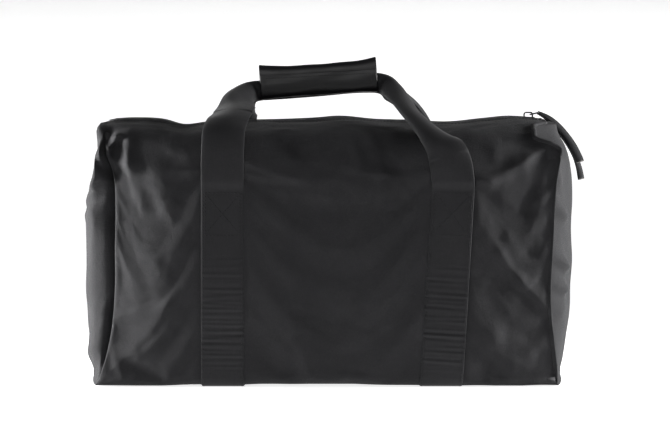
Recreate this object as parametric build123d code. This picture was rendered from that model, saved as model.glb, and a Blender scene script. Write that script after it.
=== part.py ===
from build123d import *

import math
import os

# A soft holdall for rope, standing on its base. X runs along its length, the front faces -Y and +Z is up.
# The origin is the centre of the base. All sizes are in millimetres.

# ---- driving dimensions -----------------------------------------------------------------------------------

# the body
SEAM_HALF_LENGTH = 262.0  # half the length between the two end seams, at the front and back faces
BULGE_HALF_LENGTH = 303.0  # half the length at the fullest place of the end panels
HALF_DEPTH = 140.0
SHOULDER_HEIGHT = 277.0  # the fold between a wall and the top
RIDGE_HEIGHT = 321.0  # the top of the cloth at the zip
CLOTH = 2.5  # thickness of a panel, quilted seam allowances included
BOTTOM_FOLD_RADIUS = 20.0
FULLEST_HEIGHT = 150.0  # height of the fullest place of the end panels
ELEVATION_RADIUS = 690.0  # the end panels' curve seen from the front
BINDING_WIDTH = 8.0
BINDING = 2.0  # thickness of the binding tape, folded

# the mouth: the middle stretch of the top that opens
MOUTH_HALF_LENGTH = 214.5
MOUTH_GAP = 0.5  # cut between a flap and the fixed ends of the top
FLAP_SETBACK = 5.5  # from the outside of the wall to the flap's outer edge
FLAP_INNER_EDGE = 8.0  # from the middle of the zip to the flap's inner edge

# webbing
WEBBING_WIDTH = 50.0
WEBBING = 2.0
LEFT_BAND_X = -124.0
RIGHT_BAND_X = 146.0
RIGHT_BAND_FOOT_X = 132.0  # the right band leans, so its foot is nearer the middle
STITCH_TOP = 234.0  # height where the webbing leaves the wall

# the zip
TAPE = 1.0
TAPE_INNER_EDGE = 2.4
TAPE_OUTER_EDGE = 24.0
COIL_INNER_EDGE = 0.6
COIL_OUTER_EDGE = 3.2
COIL_BOTTOM = RIDGE_HEIGHT - 1.5
COIL_TOP = RIDGE_HEIGHT + 1.3
ZIP_END_HALF_LENGTH = 279.0
SLIDER_X = 249.0  # where the slider is parked, with the bag shut
SLIDER_LENGTH = 16.0
SLIDER_WIDTH = 9.0
SLIDER_TOP_PLATE = (RIDGE_HEIGHT + 1.9, RIDGE_HEIGHT + 3.9)  # lower and upper faces
SLIDER_BOTTOM_PLATE = (RIDGE_HEIGHT - 7.4, RIDGE_HEIGHT - 5.2)
SLIDER_WEB = 0.6  # the web that parts the two coils
CROWN_TOP = RIDGE_HEIGHT + 10.5
CROWN_WIDTH = 3.0
CROWN_WALL = 1.6
RING_WIRE = 1.6
RING_AXIS = (251.5, RIDGE_HEIGHT + 7)  # x and z of the ring's bar, inside the crown

# the grip round both handles
GRIP_CENTRE = (-13.0, 0.0, 369.5)
GRIP_LENGTH = 146.0
GRIP_DEPTH = 26.0
GRIP_HEIGHT = 42.0
GRIP_TILT = 4.0  # degrees, right end up
LEATHER = 1.8
GRIP_FLAP_HEIGHT = 28.0
PATCH = 0.9  # thickness of one half of the hook-and-loop closure
GAP = 0.4  # between pieces that move past each other

# the ribbon pull's route, from the ring over the right end, in its own plane
RIBBON_WIDTH = 9.0
RIBBON_ROUTE = [
    (261.5, 330.5),
    (272.5, 331.0),
    (286.0, 325.0),
    (298.0, 312.0),
    (307.0, 294.0),
    (313.0, 271.0),
    (316.0, 247.0),
]

ROOF_SLOPE = (RIDGE_HEIGHT - SHOULDER_HEIGHT) / HALF_DEPTH
# the end panels' curve seen from above, which passes through the end seams
PLAN_BULGE = BULGE_HALF_LENGTH - SEAM_HALF_LENGTH
PLAN_RADIUS = (HALF_DEPTH**2 + PLAN_BULGE**2) / (2 * PLAN_BULGE)
BASE_BOTTOM = WEBBING  # the base panel rests on the webbing bands


# ---- small helpers ----------------------------------------------------------------------------------------


def prism(plane, outline, start, stop):
    """A closed outline drawn on a principal plane, extruded from start to stop along that plane's normal."""
    face = plane.offset(start) * make_face(outline)
    return extrude(face, amount=stop - start)


def slab(low, high):
    """A box given by its lowest and highest corners."""
    size = [b - a for a, b in zip(low, high)]
    return Pos(*low) * Box(*size, align=(Align.MIN, Align.MIN, Align.MIN))


def roof_height(depth):
    """Height of the outside of the top at a distance from the middle of the zip."""
    return RIDGE_HEIGHT - ROOF_SLOPE * abs(depth)


def to_back(solid):
    """The same piece on the back of the bag."""
    return mirror(solid, about=Plane.XZ)


def strip(stations, thickness):
    """A flat strip through stations (centre, width direction, half width), ruled from each to the next."""
    centres = [Vector(*centre) for centre, _, _ in stations]
    faces = []
    for i, (_, across, half) in enumerate(stations):
        before = centres[max(i - 1, 0)]
        after = centres[min(i + 1, len(centres) - 1)]
        along = (after - before).normalized()
        side = Vector(*across).normalized()
        normal = along.cross(side).normalized()
        corners = [
            centres[i] + side * half * s + normal * (thickness / 2) * t
            for s, t in ((-1, -1), (1, -1), (1, 1), (-1, 1))
        ]
        faces.append(make_face(Polyline(*corners, close=True)))
    return loft(faces, ruled=True)


# ---- the body ---------------------------------------------------------------------------------------------


def end_limits(inset):
    """The closed volume between the two bulged end panels, with its ends moved in by inset."""
    length = 2 * (BULGE_HALF_LENGTH - inset)
    beyond = 10
    plan = Plane.XY.offset(-beyond) * SlotOverall(length, 2 * PLAN_RADIUS)
    from_above = extrude(plan, amount=RIDGE_HEIGHT + 2 * beyond)
    reach = ELEVATION_RADIUS - length / 2
    right_end = Pos(-reach, FULLEST_HEIGHT) * Circle(ELEVATION_RADIUS)
    left_end = Pos(reach, FULLEST_HEIGHT) * Circle(ELEVATION_RADIUS)
    elevation = Plane.XZ.offset(-HALF_DEPTH - beyond) * (right_end & left_end)
    from_front = extrude(elevation, amount=2 * (HALF_DEPTH + beyond))
    return from_above & from_front


def cross_section(inset):
    """Everything inside the house-shaped cross-section, moved in by inset on every side."""
    wall = HALF_DEPTH - inset
    shoulder = roof_height(wall) - inset
    bottom = BASE_BOTTOM + inset
    outline = make_face(
        Polyline(
            (-wall, bottom),
            (wall, bottom),
            (wall, shoulder),
            (0, RIDGE_HEIGHT - inset),
            (-wall, shoulder),
            close=True,
        )
    )
    feet = outline.vertices().sort_by(Axis.Y)[:2]
    outline = Plane.YZ.offset(-BULGE_HALF_LENGTH - 5) * fillet(feet, BOTTOM_FOLD_RADIUS - inset)
    return extrude(outline, amount=2 * (BULGE_HALF_LENGTH + 5))


def wrap_shell():
    """The cloth that runs from the zip down the front, under the base and up the back."""
    return (cross_section(0) - cross_section(CLOTH)) & end_limits(0)


def front_panel(shell):
    """The front wall with its bottom fold, and the fixed ends of the top that it is cut in one piece with."""
    reach = BULGE_HALF_LENGTH
    base_edge = HALF_DEPTH - BOTTOM_FOLD_RADIUS
    front = slab((-reach, -HALF_DEPTH, 0), (reach, -FLAP_INNER_EDGE, RIDGE_HEIGHT))
    base = slab((-reach, -base_edge, 0), (reach, 0, BOTTOM_FOLD_RADIUS))
    start = MOUTH_HALF_LENGTH + MOUTH_GAP
    mouth = slab((-start, -HALF_DEPTH + CLOTH, SHOULDER_HEIGHT / 2), (start, 0, RIDGE_HEIGHT))
    above_wall = slab((-start, -HALF_DEPTH, SHOULDER_HEIGHT - 0.5), (start, 0, RIDGE_HEIGHT))
    return (shell & front) - base - mouth - above_wall


def base_panel(shell):
    half = HALF_DEPTH - BOTTOM_FOLD_RADIUS
    return shell & slab((-BULGE_HALF_LENGTH, -half, 0), (BULGE_HALF_LENGTH, half, BOTTOM_FOLD_RADIUS))


def right_end_panel():
    """The bulging end, set inside the wrap."""
    half = slab((0, -HALF_DEPTH, 0), (BULGE_HALF_LENGTH, HALF_DEPTH, RIDGE_HEIGHT))
    return (end_limits(0) - end_limits(CLOTH)) & cross_section(CLOTH) & half


def right_seam_binding():
    """The folded tape that binds the seam allowance just inside the end seam, open where the zip passes."""
    inset = CLOTH + 0.3
    start = SEAM_HALF_LENGTH - CLOTH - BINDING_WIDTH - 2
    ring = cross_section(inset) - cross_section(inset + BINDING)
    stretch = slab((start, -HALF_DEPTH, 0), (start + BINDING_WIDTH, HALF_DEPTH, RIDGE_HEIGHT))
    zip_room = TAPE_OUTER_EDGE + 2
    return (ring & stretch) - slab((start, -zip_room, 200), (start + BINDING_WIDTH, zip_room, RIDGE_HEIGHT))


def roof_outline(outer_edge, inner_edge, top_drop, thickness):
    """Cross-section of a strip of the front slope, between two distances from the middle of the zip."""
    return Polyline(
        (-outer_edge, roof_height(outer_edge) - top_drop),
        (-inner_edge, roof_height(inner_edge) - top_drop),
        (-inner_edge, roof_height(inner_edge) - top_drop - thickness),
        (-outer_edge, roof_height(outer_edge) - top_drop - thickness),
        close=True,
    )


def mouth_flap():
    """The front half of the opening top, from just inside the shoulder to the zip."""
    outline = roof_outline(HALF_DEPTH - FLAP_SETBACK, FLAP_INNER_EDGE, 0, CLOTH)
    return prism(Plane.YZ, outline, -MOUTH_HALF_LENGTH, MOUTH_HALF_LENGTH)


# ---- the zip ----------------------------------------------------------------------------------------------


def tape(start, stop):
    """The front zip tape, sewn under the edge of the top."""
    outline = roof_outline(TAPE_OUTER_EDGE, TAPE_INNER_EDGE, CLOTH, TAPE)
    edge = roof_outline(FLAP_INNER_EDGE, TAPE_INNER_EDGE, CLOTH - 2 * TAPE, 3 * TAPE)
    return prism(Plane.YZ, outline, start, stop) + prism(Plane.YZ, edge, start, stop) - coil_groove(start, stop)


def coil_groove(start, stop):
    """Room round the coil, which is a piece of its own."""
    return slab(
        (start, -COIL_OUTER_EDGE, COIL_BOTTOM),
        (stop, 0, RIDGE_HEIGHT + 5),
    )


def coil(start, stop):
    """The front half of the zip's coil, as a plain bar."""
    return slab((start, -COIL_OUTER_EDGE, COIL_BOTTOM), (stop, -COIL_INNER_EDGE, COIL_TOP))


def right_zip_end():
    """The last stretch of both tapes and coils, which the end seam keeps shut."""
    start = MOUTH_HALF_LENGTH + MOUTH_GAP
    half = tape(start, ZIP_END_HALF_LENGTH) + coil(start, ZIP_END_HALF_LENGTH)
    bar = slab(
        (ZIP_END_HALF_LENGTH - 6, -COIL_OUTER_EDGE, COIL_BOTTOM),
        (ZIP_END_HALF_LENGTH, COIL_OUTER_EDGE, COIL_TOP),
    )
    return half + to_back(half) + bar


def right_zip_stop():
    """A crimped metal stop across both coils."""
    x = SLIDER_X + SLIDER_LENGTH / 2 + 5
    return slab((x, -COIL_OUTER_EDGE, COIL_TOP), (x + 3.5, COIL_OUTER_EDGE, COIL_TOP + 1.2))


def slider():
    """Top plate, bottom plate, the web that joins them and parts the coils, and the crown for the ring."""
    half_length = SLIDER_LENGTH / 2
    half_width = SLIDER_WIDTH / 2
    half_web = SLIDER_WEB / 2
    low, high = SLIDER_BOTTOM_PLATE
    floor, top = SLIDER_TOP_PLATE
    top_plate = slab((-half_length, -half_width, floor), (half_length, half_width, top))
    top_plate = fillet(top_plate.edges().filter_by(Axis.Z), 3)
    bottom_plate = slab((-half_length, -3, low), (half_length, 3, high))
    web = slab((-4, -half_web, high), (4, half_web, floor))
    crown = slab((-6, -CROWN_WIDTH / 2, top), (6, CROWN_WIDTH / 2, CROWN_TOP))
    crown = fillet(crown.edges().filter_by(Axis.Y).sort_by(Axis.Z)[-2:], 3.5)
    window = slab(
        (-6 + CROWN_WALL, -CROWN_WIDTH, top),
        (6 - CROWN_WALL, CROWN_WIDTH, CROWN_TOP - CROWN_WALL),
    )
    window = fillet(window.edges().filter_by(Axis.Y).sort_by(Axis.Z)[-2:], 1.9)
    return Pos(SLIDER_X, 0, 0) * (top_plate + bottom_plate + web + (crown - window))


def pull_ring():
    """A small wire ring through the slider's crown, leaning towards the right end."""
    x, z = RING_AXIS
    lean = 14
    bar = 10
    path = FilletPolyline(
        (0, -bar / 2, 0),
        (bar, -bar / 2, 0),
        (bar, bar / 2, 0),
        (0, bar / 2, 0),
        radius=3,
        close=True,
    )
    section = Plane(origin=(0, 0, 0), x_dir=(1, 0, 0), z_dir=(0, 1, 0)) * Circle(RING_WIRE / 2)
    return Pos(x, 0, z) * Rot(0, -lean, 0) * sweep(section, path=path)


def ribbon_radii():
    """One fillet radius for each inner point of the ribbon's route."""
    radii = []
    for before, here, after in zip(RIBBON_ROUTE, RIBBON_ROUTE[1:], RIBBON_ROUTE[2:]):
        arriving = Vector(here[0] - before[0], 0, here[1] - before[1])
        leaving = Vector(after[0] - here[0], 0, after[1] - here[1])
        half_turn = math.radians(arriving.get_angle(leaving)) / 2
        radii.append(0.45 * min(arriving.length, leaving.length) / math.tan(half_turn))
    return radii


def ribbon_pull():
    """The ribbon folded double through the ring, as one tube as thick as the ribbon is wide."""
    points = [(x, 0, z) for x, z in RIBBON_ROUTE]
    radii = ribbon_radii()
    print("ribbon radii", [round(r, 1) for r in radii])
    path = FilletPolyline(*points, radius=radii)
    start = Plane(origin=path @ 0, z_dir=path % 0)
    tube = sweep(start * Circle(RIBBON_WIDTH / 2), path=path)
    expected = math.pi * (RIBBON_WIDTH / 2) ** 2 * path.length
    print("ribbon length", round(path.length, 1), "volume ratio", round(tube.volume / expected, 3))
    return tube


# ---- webbing, handles and grip ----------------------------------------------------------------------------


def band(top_x, foot_x):
    """One webbing band: up the front wall, under the base and up the back wall."""
    half = WEBBING_WIDTH / 2
    wall = HALF_DEPTH + WEBBING
    leg_outline = Polyline(
        (foot_x - half, 0),
        (foot_x + half, 0),
        (top_x + half, STITCH_TOP),
        (top_x - half, STITCH_TOP),
        close=True,
    )
    outer = slab((-300, -wall, 0), (300, wall, STITCH_TOP))
    outer = fillet(outer.edges().filter_by(Axis.X).sort_by(Axis.Z)[:2], BOTTOM_FOLD_RADIUS + WEBBING)
    inner = slab((-300, -HALF_DEPTH, WEBBING), (300, HALF_DEPTH, STITCH_TOP + 1))
    inner = fillet(inner.edges().filter_by(Axis.X).sort_by(Axis.Z)[:2], BOTTOM_FOLD_RADIUS)
    return (outer - inner) & prism(Plane.XZ, leg_outline, -wall, wall)


def front_handle():
    """The front handle loop: two flat legs that rise from the stitching and fold together inside the grip."""
    leg_y = -HALF_DEPTH - GAP - WEBBING / 2 - 0.4
    foot_z = STITCH_TOP + 0.5
    wide = WEBBING_WIDTH / 2
    along_x = (1, 0, 0)
    upright = (0, 0, 1)
    rise = math.tan(math.radians(GRIP_TILT))
    inside_y = -6.0

    def in_grip(x):
        return (x, inside_y, GRIP_CENTRE[2] - 3 + (x - GRIP_CENTRE[0]) * rise)

    stations = [
        ((LEFT_BAND_X, leg_y, foot_z), along_x, wide),
        ((LEFT_BAND_X, leg_y, 288), along_x, wide),
        ((-120, -100, 322), (1, 0.1, 0.25), 23),
        ((-110, -48, 346), (0.7, 0.3, 0.7), 19),
        (in_grip(-88), upright, 15),
        (in_grip(62), upright, 15),
        ((84, -40, 352), (-0.7, 0.3, 0.7), 18),
        ((104, -76, 326), (-1, 0.2, 0.55), 21),
        ((128, -114, 306), (-1, 0.1, 0.35), 24),
        ((142, leg_y, 286), (-1, 0, 0.2), wide),
        ((RIGHT_BAND_X, leg_y, 262), (-1, 0, 0), wide),
        ((RIGHT_BAND_X, leg_y, foot_z), (-1, 0, 0), wide),
    ]
    return strip(stations, WEBBING)


def tilt_grip(solid):
    """Moves a piece drawn about the grip's centre, level, to its place on the handles."""
    return Pos(*GRIP_CENTRE) * Rot(0, -GRIP_TILT, 0) * solid


def grip_wrap():
    """The leather sleeve round both handles."""
    half = GRIP_LENGTH / 2
    outer = Box(GRIP_LENGTH, GRIP_DEPTH, GRIP_HEIGHT)
    outer = fillet(outer.edges().filter_by(Axis.X), 9)
    inner = Box(GRIP_LENGTH + 2, GRIP_DEPTH - 2 * LEATHER, GRIP_HEIGHT - 2 * LEATHER)
    inner = fillet(inner.edges().filter_by(Axis.X), 9 - LEATHER)
    patch_seat = slab((-half, -GRIP_DEPTH, -GRIP_HEIGHT), (half, -GRIP_DEPTH / 2 + 0.01, GRIP_HEIGHT))
    return tilt_grip(outer - inner - patch_seat)


def loop_patch():
    """The loop half of the closure, on the front of the sleeve."""
    y = -GRIP_DEPTH / 2
    return tilt_grip(slab((-60, y - PATCH, -11), (60, y + 0.01, 3)))


def hook_patch():
    """The hook half of the closure, on the inside of the flap."""
    y = -GRIP_DEPTH / 2 - PATCH - GAP
    return tilt_grip(slab((-60, y - PATCH, -11), (60, y, 3)))


def grip_flap():
    """The overlapping leather flap that comes up the front of the sleeve."""
    half = GRIP_LENGTH / 2
    y = -GRIP_DEPTH / 2 - 2 * PATCH - GAP
    low = -GRIP_HEIGHT / 2 + 1
    flap = slab((-half, y - LEATHER, low), (half, y, low + GRIP_FLAP_HEIGHT))
    flap = fillet(flap.edges().filter_by(Axis.Y), 4)
    return tilt_grip(flap)


# ---- write every piece ------------------------------------------------------------------------------------


def to_left(solid):
    """The same piece at the left end."""
    return mirror(solid, about=Plane.YZ)


def pieces():
    shell = wrap_shell()
    front = front_panel(shell)
    right_end = right_end_panel()
    binding = right_seam_binding()
    flap = mouth_flap()
    zip_tape = tape(-MOUTH_HALF_LENGTH, MOUTH_HALF_LENGTH)
    zip_coil = coil(-MOUTH_HALF_LENGTH, MOUTH_HALF_LENGTH)
    zip_end = right_zip_end()
    stop = right_zip_stop()
    handle = front_handle()
    return {
        "front_panel": front,
        "back_panel": to_back(front),
        "base_panel": base_panel(shell),
        "left_end_panel": to_left(right_end),
        "right_end_panel": right_end,
        "left_seam_binding": to_left(binding),
        "right_seam_binding": binding,
        "left_webbing_band": band(LEFT_BAND_X, LEFT_BAND_X),
        "right_webbing_band": band(RIGHT_BAND_X, RIGHT_BAND_FOOT_X),
        "left_zip_end": to_left(zip_end),
        "right_zip_end": zip_end,
        "left_zip_stop": to_left(stop),
        "right_zip_stop": stop,
        "front_mouth_flap": flap,
        "front_zip_tape": zip_tape,
        "front_zip_coil": zip_coil,
        "back_mouth_flap": to_back(flap),
        "back_zip_tape": to_back(zip_tape),
        "back_zip_coil": to_back(zip_coil),
        "zip_slider": slider(),
        "zip_pull_ring": pull_ring(),
        "ribbon_pull": ribbon_pull(),
        "front_handle": handle,
        "back_handle": to_back(handle),
        "grip_wrap": grip_wrap(),
        "grip_loop_patch": loop_patch(),
        "grip_flap": grip_flap(),
        "grip_hook_patch": hook_patch(),
    }


os.makedirs("parts", exist_ok=True)
for name, solid in pieces().items():
    export_step(solid, f"parts/{name}.step")
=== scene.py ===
import math

import bpy
import numpy as np
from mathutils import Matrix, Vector
from mathutils.bvhtree import BVHTree


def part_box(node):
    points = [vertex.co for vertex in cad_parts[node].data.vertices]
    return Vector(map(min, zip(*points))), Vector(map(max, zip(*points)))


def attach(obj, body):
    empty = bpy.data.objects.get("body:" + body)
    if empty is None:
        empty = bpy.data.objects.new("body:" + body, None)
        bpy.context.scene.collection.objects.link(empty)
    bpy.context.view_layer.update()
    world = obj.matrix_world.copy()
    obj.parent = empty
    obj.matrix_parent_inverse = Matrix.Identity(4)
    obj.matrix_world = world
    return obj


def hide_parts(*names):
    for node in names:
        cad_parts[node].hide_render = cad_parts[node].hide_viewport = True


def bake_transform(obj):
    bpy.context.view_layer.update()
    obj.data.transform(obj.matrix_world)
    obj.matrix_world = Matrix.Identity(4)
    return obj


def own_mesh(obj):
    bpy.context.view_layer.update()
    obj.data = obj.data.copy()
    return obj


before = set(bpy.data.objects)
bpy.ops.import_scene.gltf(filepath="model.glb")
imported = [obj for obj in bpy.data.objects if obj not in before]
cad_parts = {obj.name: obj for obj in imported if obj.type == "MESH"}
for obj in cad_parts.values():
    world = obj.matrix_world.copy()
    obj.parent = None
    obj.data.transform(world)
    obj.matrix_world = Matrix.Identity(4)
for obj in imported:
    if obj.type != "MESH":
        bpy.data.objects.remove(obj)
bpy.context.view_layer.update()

MM = 0.001
scene = bpy.context.scene

# ---- places read from the frame

left_band_low, left_band_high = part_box("left_webbing_band")
right_band_low, right_band_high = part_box("right_webbing_band")
wrap_low, wrap_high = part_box("grip_wrap")

HALF_DEPTH = -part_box("front_panel")[0].y
SHOULDER_Z = 0.277  # where the walls turn over into the top
END_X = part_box("right_end_panel")[1].x
WEBBING_WIDTH = left_band_high.x - left_band_low.x
LEFT_X = (left_band_low.x + left_band_high.x) / 2
RIGHT_X = right_band_high.x - WEBBING_WIDTH / 2
RIGHT_FOOT_X = right_band_low.x + WEBBING_WIDTH / 2
STITCH_TOP = left_band_high.z


# ---- small maths


def smooth(a, b, x):
    """0 before a, 1 after b, with a soft start and finish."""
    t = np.clip((np.asarray(x, float) - a) / (b - a), 0, 1)
    return t * t * (3 - 2 * t)


def along(knots, values, x):
    """A smooth curve through a few knots, read at x."""
    knots, values = np.asarray(knots, float), np.asarray(values, float)
    slopes = np.gradient(values, knots)
    x = np.clip(x, knots[0], knots[-1])
    i = np.clip(np.searchsorted(knots, x) - 1, 0, len(knots) - 2)
    h = knots[i + 1] - knots[i]
    t = (x - knots[i]) / h
    a = values[i] * (1 + 2 * t) * (1 - t) ** 2 + values[i + 1] * t * t * (3 - 2 * t)
    return a + h * t * (1 - t) * (slopes[i] * (1 - t) - slopes[i + 1] * t)


def unit(v):
    return v / np.maximum(np.linalg.norm(v, axis=-1, keepdims=True), 1e-12)


def wobble(x, z, scale, seed):
    """A gentle, seeded, wave-like unevenness between about -1 and 1."""
    rng = np.random.default_rng(seed)
    total = np.zeros(np.broadcast(x, z).shape)
    for _ in range(7):
        angle, phase = rng.uniform(0, math.pi), rng.uniform(0, 2 * math.pi)
        wave = scale * rng.uniform(0.6, 1.7)
        total += np.sin((x * math.cos(angle) + z * math.sin(angle)) / wave * 2 * math.pi + phase)
    return total / 4


def closer_at_ends(count):
    """Fractions from 0 to 1 that lie closer together towards both ends."""
    even = np.linspace(0, 1, count)
    return 0.35 * even + 0.65 * (1 - np.cos(math.pi * even)) / 2


def distances(points):
    """How far along a line of places each of them is."""
    return np.r_[0, np.cumsum(np.linalg.norm(np.diff(points, axis=0), axis=1))]


def resample(points, places):
    """Rows along a line whose first three columns are its places: a number of them, or at given fractions."""
    points = np.asarray(points, float)
    steps = distances(points[:, :3])
    at = (np.linspace(0, 1, places) if np.isscalar(places) else places) * steps[-1]
    return np.stack([np.interp(at, steps, points[:, k]) for k in range(points.shape[1])], 1)


def catmull(rows, count):
    """Evenly counted points on a smooth curve through rows of numbers."""
    rows = np.asarray(rows, float)
    knots = distances(rows[:, :3])
    at = np.linspace(0, knots[-1], count)
    return np.stack([along(knots, rows[:, k], at) for k in range(rows.shape[1])], 1)


# ---- mesh building


def new_piece(name, points, faces, body=None, material=None, slot=None, uv=None):
    """A mesh object from points in metres and faces."""
    mesh = bpy.data.meshes.new(name)
    mesh.from_pydata([tuple(p) for p in np.asarray(points, float)], [], [tuple(f) for f in faces])
    if uv is not None:
        layer = mesh.uv_layers.new(name="UVMap")
        corner_vertex = np.zeros(len(mesh.loops), np.int32)
        mesh.loops.foreach_get("vertex_index", corner_vertex)
        layer.data.foreach_set("uv", np.asarray(uv, np.float32)[corner_vertex].ravel())
    mesh.polygons.foreach_set("use_smooth", [True] * len(mesh.polygons))
    mesh.update()
    obj = bpy.data.objects.new(name, mesh)
    scene.collection.objects.link(obj)
    if material:
        mesh.materials.append(material)
    if body:
        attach(obj, body)
    return obj


def vertex_places(mesh):
    return np.array([v.co for v in mesh.vertices], float)


def grid_faces(rows, columns, close_rows=False, close_columns=False, start=0):
    """Quads of a grid of points, row by row, joined round where it closes."""
    faces = []
    for i in range(rows if close_rows else rows - 1):
        here, there = start + i * columns, start + (i + 1) % rows * columns
        for j in range(columns if close_columns else columns - 1):
            k = (j + 1) % columns
            faces.append([here + j, here + k, there + k, there + j])
    return faces


def capped_tube_faces(rows, ring, start=0):
    """Faces of a tube of points, ring by ring, closed at both ends."""
    first = [start + k for k in range(ring)]
    last = [start + (rows - 1) * ring + k for k in range(ring)]
    return grid_faces(rows, ring, close_columns=True, start=start) + [first[::-1], last]


def tube(line, hint, radii, ring):
    """Points of a round tube along a line, ring by ring; hint is a direction that the line never takes."""
    way = unit(np.gradient(line, axis=0))
    sideways = unit(np.cross(way, hint))
    upward = np.cross(way, sideways)
    angles = np.linspace(0, 2 * math.pi, ring, endpoint=False)
    spokes = [sideways * math.cos(a) + upward * math.sin(a) for a in angles]
    return np.stack([line + spoke * np.reshape(radii, (-1, 1)) for spoke in spokes], 1)


def subdivide(obj):
    modifier = obj.modifiers.new("subdivision", "SUBSURF")
    modifier.levels = modifier.render_levels = 1


def thicken(obj, thickness, offset=-1.0):
    modifier = obj.modifiers.new("thickness", "SOLIDIFY")
    modifier.thickness = thickness
    modifier.offset = offset
    modifier.use_quality_normals = True


def sided(name, back):
    """The name of one of a front and back pair."""
    return ("back_" if back else "front_") + name


# ---- camera


CAMERA_DISTANCE = 2.06  # from the front wall
CAMERA_X, CAMERA_HEIGHT = 0.0076, 0.1925
PICTURE_WIDTH = 0.784  # how much of the front wall's plane the picture spans


def make_camera():
    """A long lens in front of the bag, level with the middle of its height."""
    data = bpy.data.cameras.new("camera")
    camera = bpy.data.objects.new("camera", data)
    scene.collection.objects.link(camera)
    data.sensor_width = 36
    data.lens = data.sensor_width * CAMERA_DISTANCE / PICTURE_WIDTH
    camera.location = (CAMERA_X, -HALF_DEPTH - CAMERA_DISTANCE, CAMERA_HEIGHT)
    camera.rotation_euler = (math.pi / 2, 0, 0)
    scene.camera = camera


make_camera()


# ---- materials


class Nodes:
    """Short names for building a node material."""

    def __init__(self, name, roughness=0.8, metallic=0.0):
        self.material = bpy.data.materials.new(name)
        self.material.use_nodes = True
        self.tree = self.material.node_tree
        self.shader = self.tree.nodes["Principled BSDF"]
        self.shader.inputs["Roughness"].default_value = roughness
        self.shader.inputs["Metallic"].default_value = metallic

    def node(self, kind, **values):
        made = self.tree.nodes.new(kind)
        for key, value in values.items():
            if hasattr(made, key) and key not in made.inputs:
                setattr(made, key, value)
            else:
                made.inputs[key].default_value = value
        return made

    def link(self, source, target, output=0, input=0):
        self.tree.links.new(source.outputs[output], target.inputs[input])
        return target

    def coordinates(self, stretch=(1, 1, 1), use_uv=False):
        source = self.node("ShaderNodeTexCoord")
        mapping = self.node("ShaderNodeMapping")
        mapping.inputs["Scale"].default_value = stretch
        self.link(source, mapping, "UV" if use_uv else "Object", "Vector")
        return mapping

    def noise(self, where, scale, detail=4.0, roughness=0.55):
        made = self.node("ShaderNodeTexNoise", Scale=scale, Detail=detail, Roughness=roughness)
        return self.link(where, made, 0, "Vector").outputs[0]

    def wave(self, where, scale, distortion=0.4, direction="X"):
        made = self.node("ShaderNodeTexWave", Scale=scale, Distortion=distortion, Detail=1.0)
        made.bands_direction = direction
        return self.link(where, made, 0, "Vector").outputs[0]

    def mix(self, a, b, factor=0.5):
        """Mixes two grey values."""
        made = self.node("ShaderNodeMix", data_type="RGBA")
        made.inputs[0].default_value = factor
        self.tree.links.new(a, made.inputs[6])
        self.tree.links.new(b, made.inputs[7])
        return made.outputs[2]

    def ramp(self, source, stops):
        made = self.node("ShaderNodeValToRGB")
        self.tree.links.new(source, made.inputs[0])
        elements = made.color_ramp.elements
        while len(elements) < len(stops):
            elements.new(0.5)
        for element, (place, colour) in zip(elements, stops):
            element.position = place
            element.color = (*colour, 1)
        return made.outputs[0]

    def greys(self, source, *stops):
        """A ramp of dark, faintly cool greys, from pairs of place and value."""
        return self.ramp(source, [(place, (v * 1.01, v, v * 1.04 + 0.0009)) for place, v in stops])

    def map_range(self, given, wanted):
        """Carries one range of a value over to another."""
        made = self.node("ShaderNodeMapRange")
        made.inputs["From Min"].default_value, made.inputs["From Max"].default_value = given
        made.inputs["To Min"].default_value, made.inputs["To Max"].default_value = wanted
        return made

    def bump(self, source, strength, distance, before=None):
        made = self.node("ShaderNodeBump", Strength=strength, Distance=distance)
        self.tree.links.new(source, made.inputs["Height"])
        if before is not None:
            self.tree.links.new(before, made.inputs["Normal"])
        return made.outputs[0]

    def finish(self, colour=None, normal=None, roughness=None):
        if colour is not None:
            self.tree.links.new(colour, self.shader.inputs["Base Color"])
        if normal is not None:
            self.tree.links.new(normal, self.shader.inputs["Normal"])
        if roughness is not None:
            self.tree.links.new(roughness, self.shader.inputs["Roughness"])
        return self.material


def woven_nylon():
    """Matt black nylon: warp and weft threads, slubs, and faint cloudy wear."""
    m = Nodes("woven_nylon", roughness=0.72)
    m.shader.inputs["Sheen Weight"].default_value = 0.04
    m.shader.inputs["Sheen Roughness"].default_value = 0.45
    m.shader.inputs["Specular IOR Level"].default_value = 0.17
    warp = m.noise(m.coordinates((2600, 260, 1), use_uv=True), 1.0, 2.0)
    weft = m.noise(m.coordinates((260, 2600, 1), use_uv=True), 1.0, 2.0)
    threads = m.mix(warp, weft, 0.5)
    clouds = m.noise(m.coordinates(), 9.0, 6.0, 0.6)
    speckle = m.noise(m.coordinates(), 420.0, 3.0, 0.7)
    tone = m.mix(threads, speckle, 0.35)
    patches = m.noise(m.coordinates(), 38.0, 8.0, 0.7)
    tone = m.mix(tone, m.mix(clouds, patches, 0.5), 0.45)
    colour = m.greys(tone, (0.3, 0.010), (0.5, 0.017), (0.72, 0.028))
    normal = m.bump(threads, 1.0, 0.0009)
    return m.finish(colour, normal)


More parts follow.
